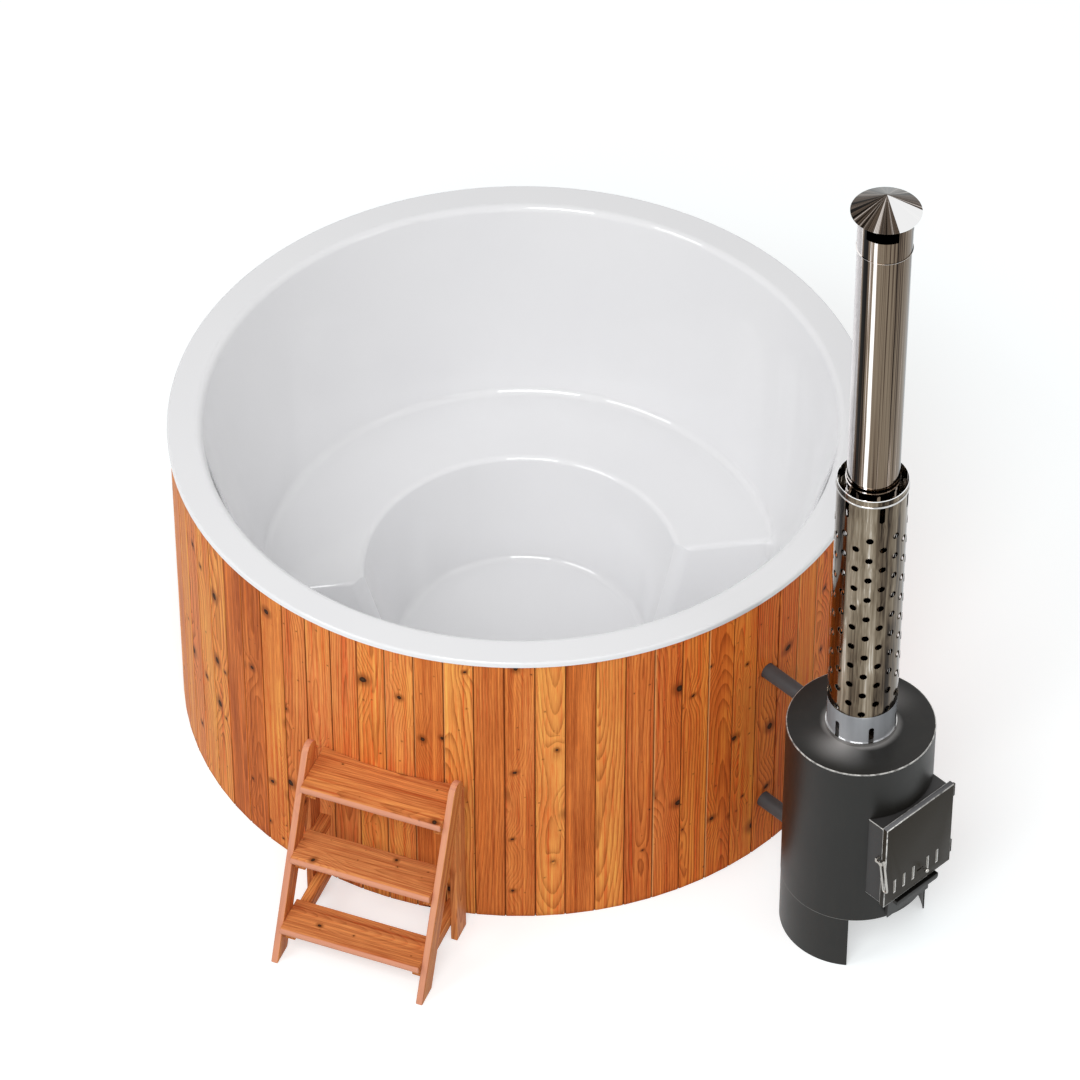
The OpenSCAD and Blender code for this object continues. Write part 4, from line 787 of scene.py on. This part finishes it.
def sawnPine():
    look = pineLook
    made, net = newMaterial("sawnPine")
    x, y, z = net.split(place(net))
    board = net.calc("ROUND", net.calc("ARCTAN2", y, x) * look["boardRate"])
    g = grain(net, y + z * look["slope"], x, z, board + look["firstDraw"], look["knotty"])
    colour = net.blend(g["cloud"], look["tone"], look["shade"])
    colour = net.blend(g["late"] * look["late"], colour, look["lateTone"])
    colour = net.blend(g["big"]["core"] * look["knot"], colour, look["knotTone"])
    relief = g["fibre"] - g["late"] * look["lateRelief"]
    close(net, {"Base Color": colour, "Roughness": look["roughness"] + g["fibre"] * look["fibreRoughness"],
                "Normal": bumped(net, relief, look["depth"], look["relief"])})
    return made


ropeLook = {
    "tone": tone(206, 200, 188), "sootTone": tone(104, 96, 86), "soot": 0.8, "sootScale": 60.0,
    "sootFrom": 0.45, "sootFull": 0.75, "yarnScale": 1400.0,
    "roughness": 0.9, "yarnRoughness": 0.1, "depth": 0.0006, "relief": 0.7,
}


def braid():
    look = ropeLook
    made, net = newMaterial("sealRope")
    where = place(net)
    yarn = net.noise(where, look["yarnScale"], detail=3.0, rough=0.7)
    soot = net.noise(where, look["sootScale"], detail=4.0, rough=0.6)
    soot = net.fit(soot, look["sootFrom"], look["sootFull"])
    close(net, {"Base Color": net.blend(soot * look["soot"], look["tone"], look["sootTone"]),
                "Roughness": look["roughness"] - yarn * look["yarnRoughness"],
                "Normal": bumped(net, yarn, look["depth"], look["relief"])})
    return made


# Pieces that stand for CAD nodes and have their sharp edges rounded over: the rounding's width
easedEdges = {
    "step_side_left": 0.0028, "step_side_right": 0.0028, "step_post_left": 0.0025, "step_post_right": 0.0025,
    "tread_top": 0.0026, "tread_middle": 0.0026, "tread_bottom": 0.0026, "step_bearers": 0.002,
    "fire_door": 0.0024, "ash_drawer": 0.0009, "door_neck": 0.0022, "stove_lid": 0.0012,
}
wornEdges = {"fire_door": 0.06, "door_neck": 0.06, "stove_lid": 0.0}     # edges longer than this get the painted highlight
easing = {"sharpTurn": math.radians(32), "flatTurn": math.radians(0.6), "segments": 3}
mergeGap = 0.00001


def easeEdges(name, width):
    worn = name in wornEdges
    shape = bmesh.new()
    shape.from_mesh(nodes[name].data)
    bmesh.ops.remove_doubles(shape, verts=shape.verts, dist=mergeGap)
    bmesh.ops.dissolve_limit(shape, angle_limit=easing["flatTurn"], verts=shape.verts, edges=shape.edges)
    if worn:
        weight = shape.edges.layers.float.new("bevel_weight_edge")
        for edge in shape.edges:
            if len(edge.link_faces) == 2 and edge.calc_face_angle(0.0) > easing["sharpTurn"]:
                if edge.calc_length() > wornEdges[name]:
                    edge[weight] = 1.0
                else:
                    edge.smooth = False
    mesh = bpy.data.meshes.new(name + "Eased")
    shape.to_mesh(mesh)
    shape.free()
    for face in mesh.polygons:
        face.use_smooth = True
    piece = newObject(name + "_eased", mesh)
    bevel = piece.modifiers.new("ease", "BEVEL")
    bevel.width = width
    bevel.segments = easing["segments"]
    bevel.harden_normals = True
    bevel.limit_method = "WEIGHT" if worn else "ANGLE"
    bevel.angle_limit = easing["sharpTurn"]
    bevel.use_clamp_overlap = not worn
    # the bevel's faces take the painted edge highlight
    bevel.material = 1 if worn else -1
    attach(piece, nodes[name]["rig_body"])
    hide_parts(name)
    dressed[name] = piece


# Where the basin's seat ends, and how far its softening reaches: to still, with its full strength up to full
seatEnds = {
    "turn": 54.6, "radius": 0.740, "behind": -0.006, "height": 0.428, "still": 0.085, "full": 0.03,
    "finest": 0.005, "cuts": 10, "longest": 1.6, "rounds": 70, "pull": 0.6, "shadeFade": 0.35,
}


def blendSeatEnds(name):
    # A copy of the moulding in which the seat's two ends run softly into the bowl's wall
    source = nodes[name]
    mesh = source.data.copy()
    kept = mesh.attributes.new("keptNormal", "FLOAT_VECTOR", "CORNER")
    normals = [0.0] * (len(mesh.loops) * 3)
    mesh.corner_normals.foreach_get("vector", normals)
    kept.data.foreach_set("vector", normals)
    shape = bmesh.new()
    shape.from_mesh(mesh)
    bmesh.ops.remove_doubles(shape, verts=shape.verts, dist=mergeGap)
    a = math.radians(seatEnds["turn"])
    along, out = Vector((math.cos(a), math.sin(a), 0)), Vector((-math.sin(a), math.cos(a), 0))
    lift = Vector((0, 0, seatEnds["height"]))
    centres = [along * side * seatEnds["radius"] + out * seatEnds["behind"] + lift for side in (-1, 1)]
    reach = seatEnds["still"]
    longest = seatEnds["finest"] * seatEnds["longest"]

    def distance(point):
        return min((point - c).length for c in centres)

    def nearEdge(edge):
        start, end = (v.co for v in edge.verts)
        line = end - start
        for c in centres:
            t = max(0.0, min(1.0, (c - start).dot(line) / max(line.length_squared, 1e-12)))
            if (start + line * t - c).length < reach:
                return True
        return False

    for _ in range(seatEnds["cuts"]):
        long = [e for e in shape.edges if e.calc_length() > longest and nearEdge(e)]
        if not long:
            break
        bmesh.ops.subdivide_edges(shape, edges=long, cuts=1)
        bmesh.ops.triangulate(shape, faces=[f for f in shape.faces if len(f.verts) > 3])
    soft = []
    for v in shape.verts:
        d = distance(v.co)
        if d < reach:
            w = min(1.0, (reach - d) / (reach - seatEnds["full"]))
            soft.append((v, w * w * (3 - 2 * w)))
    for _ in range(seatEnds["rounds"]):
        moved = []
        for v, w in soft:
            middle = Vector()
            for edge in v.link_edges:
                middle += edge.other_vert(v).co
            moved.append(v.co.lerp(middle / len(v.link_edges), w * seatEnds["pull"]))
        for (v, _), spot in zip(soft, moved):
            v.co = spot
    shape.to_mesh(mesh)
    shape.free()
    mesh.update()
    before = mesh.attributes["keptNormal"].data
    smooth = [v.vector.copy() for v in mesh.vertex_normals]
    final = []
    for loop in mesh.loops:
        d = distance(mesh.vertices[loop.vertex_index].co)
        w = max(0.0, min(1.0, (reach - d) / (reach * seatEnds["shadeFade"])))
        normal = Vector(before[loop.index].vector).lerp(smooth[loop.vertex_index], w)
        final.append(normal.normalized() if normal.length > 1e-6 else smooth[loop.vertex_index])
    mesh.normals_split_custom_set(final)
    mesh.attributes.remove(mesh.attributes["keptNormal"])
    piece = newObject("bath_shell", mesh)
    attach(piece, source["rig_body"])
    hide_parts(name)
    dressed[name] = piece
    print("seat ends blended:", len(soft), "points,", len(mesh.polygons), "faces")


def nodeGroup(name, inputs):
    # A geometry tree with named inputs. Returns its Net and a Wire for each input.
    tree = bpy.data.node_groups.new(name, "GeometryNodeTree")
    tree.interface.new_socket("Geometry", in_out="OUTPUT", socket_type="NodeSocketGeometry")
    for label, value in inputs.items():
        kind = "NodeSocketInt" if isinstance(value, int) else "NodeSocketFloat"
        tree.interface.new_socket(label, in_out="INPUT", socket_type=kind).default_value = value
    net = Net(tree)
    start = net.add("NodeGroupInput")
    return net, {label: start.out(label) for label in inputs}


def finishGroup(net, geometry, material):
    real = net.add("GeometryNodeRealizeInstances", None, {0: geometry})
    painted = net.add("GeometryNodeSetMaterial", None, {"Geometry": real, "Material": material})
    net.add("NodeGroupOutput", None, {0: painted})


def growPiece(name, net, inputs, body):
    # Runs the tree once and keeps its result as a plain mesh
    holder = newObject(name + "Holder", bpy.data.meshes.new(name + "Holder"))
    grow = holder.modifiers.new("grow", "NODES")
    grow.node_group = net.tree
    for item in net.tree.interface.items_tree:
        if item.in_out == "INPUT":
            grow[item.identifier] = inputs[item.name]
    ready = holder.evaluated_get(bpy.context.evaluated_depsgraph_get())
    mesh = bpy.data.meshes.new_from_object(ready)
    mesh.name = name
    holder.modifiers.clear()
    bpy.data.objects.remove(holder)
    piece = newObject(name, mesh)
    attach(piece, body)


guardRims = {
    "Columns": 16, "Rows": 10, "Pitch": 0.072, "First Height": 0.886, "Turn": math.radians(-3.0),
    "Tube Radius": 0.0960, "Hole Radius": 0.0106, "Lip": 0.0006, "Rim Points": 20, "Lip Points": 6,
}


def makeGuardRims(material):
    # The pressed lip round each hole of the heat guard
    net, g = nodeGroup("holeRims", guardRims)
    axisX, axisY = sheetLook["axis"]
    line = net.add("GeometryNodeMeshLine", None, {"Count": g["Columns"] * g["Rows"]})
    index = net.add("GeometryNodeInputIndex")
    column = index % g["Columns"]
    row = net.calc("FLOOR", index / g["Columns"])
    odd = column % 2.0
    angle = g["Turn"] + column * (2 * math.pi) / g["Columns"]
    height = g["First Height"] + (row + odd * 0.5) * g["Pitch"]
    spot = net.vector(net.calc("COSINE", angle) * g["Tube Radius"] + axisX,
                      net.calc("SINE", angle) * g["Tube Radius"] + axisY, height)
    moved = net.add("GeometryNodeSetPosition", None, {"Geometry": line, "Position": spot})
    extra = (odd > 0.5) * (row > (g["Rows"] - 1.5))     # every second column has one hole less
    kept = net.add("GeometryNodeDeleteGeometry", {"domain": "POINT"}, {"Geometry": moved, "Selection": extra})
    ring = net.add("GeometryNodeCurvePrimitiveCircle", None,
                   {"Resolution": g["Rim Points"], "Radius": g["Hole Radius"]})
    wire = net.add("GeometryNodeCurvePrimitiveCircle", None,
                   {"Resolution": g["Lip Points"], "Radius": g["Lip"]})
    lip = net.add("GeometryNodeCurveToMesh", None, {"Curve": ring, "Profile Curve": wire})
    smooth = net.add("GeometryNodeSetShadeSmooth", None, {"Geometry": lip})
    hereX, hereY, _ = net.split(net.add("GeometryNodeInputPosition"))
    flat = net.vector(0.0, math.pi / 2, net.calc("ARCTAN2", hereY - axisY, hereX - axisX))
    placed = net.add("GeometryNodeInstanceOnPoints", None,
                     {"Points": kept, "Instance": smooth, "Rotation": flat})
    finishGroup(net, placed, material)
    growPiece("guard_hole_rims", net, guardRims, "tub_and_stove")


weldLook = {
    "Radius": 0.0232, "Bead": 0.0026, "Count": 46, "Along": 1.1475, "Height": 0.703,
    "Smallest": 0.85, "Largest": 1.15, "Flatness": 0.7, "Roundness": 2, "Seed": 5,
}


def makeWeld(material):
    # A ring of overlapping weld ripples where the upper water pipe meets the stove
    net, g = nodeGroup("supply_pipe_weld", weldLook)
    ring = net.add("GeometryNodeCurvePrimitiveCircle", None,
                   {"Resolution": g["Count"], "Radius": g["Radius"]})
    turned = net.add("GeometryNodeTransform", None,
                     {"Geometry": ring, "Translation": net.vector(g["Along"], 0.0, g["Height"]),
                      "Rotation": (0.0, math.pi / 2, 0.0)})
    points = net.add("GeometryNodeCurveToPoints", {"mode": "EVALUATED"}, {"Curve": turned})
    bead = net.add("GeometryNodeMeshIcoSphere", None, {"Radius": g["Bead"], "Subdivisions": g["Roundness"]})
    smooth = net.add("GeometryNodeSetShadeSmooth", None, {"Geometry": bead})
    vary = net.add("FunctionNodeRandomValue", {"data_type": "FLOAT"},
                   {2: g["Smallest"], 3: g["Largest"], "Seed": g["Seed"]}, out=1)
    placed = net.add("GeometryNodeInstanceOnPoints", None,
                     {"Points": points, "Instance": smooth, "Rotation": points.out("Rotation"),
                      "Scale": net.vector(vary, vary, vary * g["Flatness"])})
    finishGroup(net, placed, material)
    growPiece("supply_pipe_weld", net, weldLook, "tub_and_stove")


room = {
    "floorSize": 60.0,
    "floorDrop": 0.0005,
    "floorTone": (0.706, 0.754, 0.766, 1.0),
    "floorLift": 0.485,
    "worldStrength": 0.52,
    "white": (1, 1, 1, 1),
    "target": (0.3, 0.0, 0.6),
    "distance": 11.0,
}
lamps = {   # the way each lamp stands from the tub: azimuth, height angle, size and power
    "key": (-104.0, 40.0, 4.0, 212.0),
    "front": (-55.0, 45.0, 5.0, 485.0),
    "side": (15.0, 35.0, 4.0, 45.0),
}
photoCamera = {
    "place": (9.35491, -8.84836, 12.77600),
    "turn": (46.41524, 0.05548, 46.30133),
    "lens": 205.752,
    "sensor": 36.0,
    "reach": 200.0,
}


def seenDirectly(net):
    # 1 for the camera and for what metal and glass show
    path = net.add("ShaderNodeLightPath", out="Is Camera Ray")
    shown = net.calc("MAXIMUM", path.out("Is Glossy Ray"), path.out("Is Transmission Ray"))
    return net.calc("MAXIMUM", path, shown)


def makeFloor():
    bpy.ops.mesh.primitive_plane_add(size=room["floorSize"], location=(0, 0, -room["floorDrop"]))
    floor = bpy.context.object
    floor.name = "floor"
    made, net = newMaterial("paleFloor")
    diffuse = net.add("ShaderNodeBsdfDiffuse", None, {"Color": room["floorTone"]})
    glow = net.add("ShaderNodeEmission", None,
                   {"Color": room["white"], "Strength": seenDirectly(net) * room["floorLift"]})
    both = net.add("ShaderNodeAddShader", None, {0: diffuse, 1: glow})
    net.add("ShaderNodeOutputMaterial", None, {"Surface": both})
    floor.data.materials.append(made)


def makeLight():
    world = bpy.data.worlds.new("studio")
    bpy.context.scene.world = world
    world.use_nodes = True
    world.node_tree.nodes.clear()
    net = Net(world.node_tree)
    strength = room["worldStrength"] + seenDirectly(net) * (1.0 - room["worldStrength"])
    sky = net.add("ShaderNodeBackground", None, {"Color": room["white"], "Strength": strength})
    net.add("ShaderNodeOutputWorld", None, {"Surface": sky})
    for name, (azimuth, rise, size, power) in lamps.items():
        lamp = bpy.data.lights.new(name, "AREA")
        lamp.shape = "SQUARE"
        lamp.size = size
        lamp.energy = power
        holder = newObject(name, lamp)
        a, e = math.radians(azimuth), math.radians(rise)
        away = Vector((math.cos(a) * math.cos(e), math.sin(a) * math.cos(e), math.sin(e)))
        holder.location = Vector(room["target"]) + away * room["distance"]
        holder.rotation_euler = away.to_track_quat("Z", "Y").to_euler()


def makeCamera():
    lens = bpy.data.cameras.new("photoCamera")
    lens.lens = photoCamera["lens"]
    lens.sensor_width = photoCamera["sensor"]
    lens.clip_end = photoCamera["reach"]
    camera = newObject("photoCamera", lens)
    camera.location = photoCamera["place"]
    camera.rotation_euler = [math.radians(v) for v in photoCamera["turn"]]
    bpy.context.scene.camera = camera
    bpy.context.scene.view_settings.view_transform = "Standard"


makeFloor()
makeLight()
makeCamera()
print("room ready")

for name, width in easedEdges.items():
    easeEdges(name, width)
print("edges eased:", len(dressed))
blendSeatEnds("basin")

paint = stovePaint("body")
bySlot = {
    "basin_white": gelcoat(),
    "cedar": wallWood(),
    "pine": sawnPine(),
    "fitting_grey": plainPlastic("fittingPlastic"),
    "pipe_dark": plainPlastic("pipeRubber"),
    "lever_red": plainPlastic("dippedGrip"),
    "stove_paint": paint,
    "inner_steel": darkSteel("scaledSteel", scaledLook),
    "cast": darkSteel("castIron", castLook),
    "rope": braid(),
    "bright_steel": brightMetal("brightSteel"),
    "valve_brass": brightMetal("castBrass"),
    "chimney_steel": polishedSheet("polishedFlue", flueSheet),
}
for part in frame["record"]["subparts"]:
    if part["material_slot"] in bySlot:     # the steps' pale boards are finished below
        setMaterial(part["node"], bySlot[part["material_slot"]])
guardSteel = polishedSheet("polishedGuard", guardSheet)
setMaterial("heat_guard", guardSteel)
setMaterial("chimney_cap", polishedSheet("polishedCap", capSheet))
setMaterial("chimney_cowl", polishedSheet("polishedCowl", cowlSheet))
setMaterial("fire_door", stovePaint("door", slots=True))
setMaterial("door_neck", stovePaint("neck"))
# painted highlight on the rounded edges of the door, neck and lid
edgeShine = wornEdge()
for name in wornEdges:
    dressed[name].data.materials.append(edgeShine)
mirror = brightMetal("mirrorTrim")
for name in ("guard_bead", "guard_base_ring"):
    setMaterial(name, mirror)
finishSteps()
print("materials set")

makeGuardRims(guardSteel)
makeWeld(paint)
print("repeats grown")

print("done")
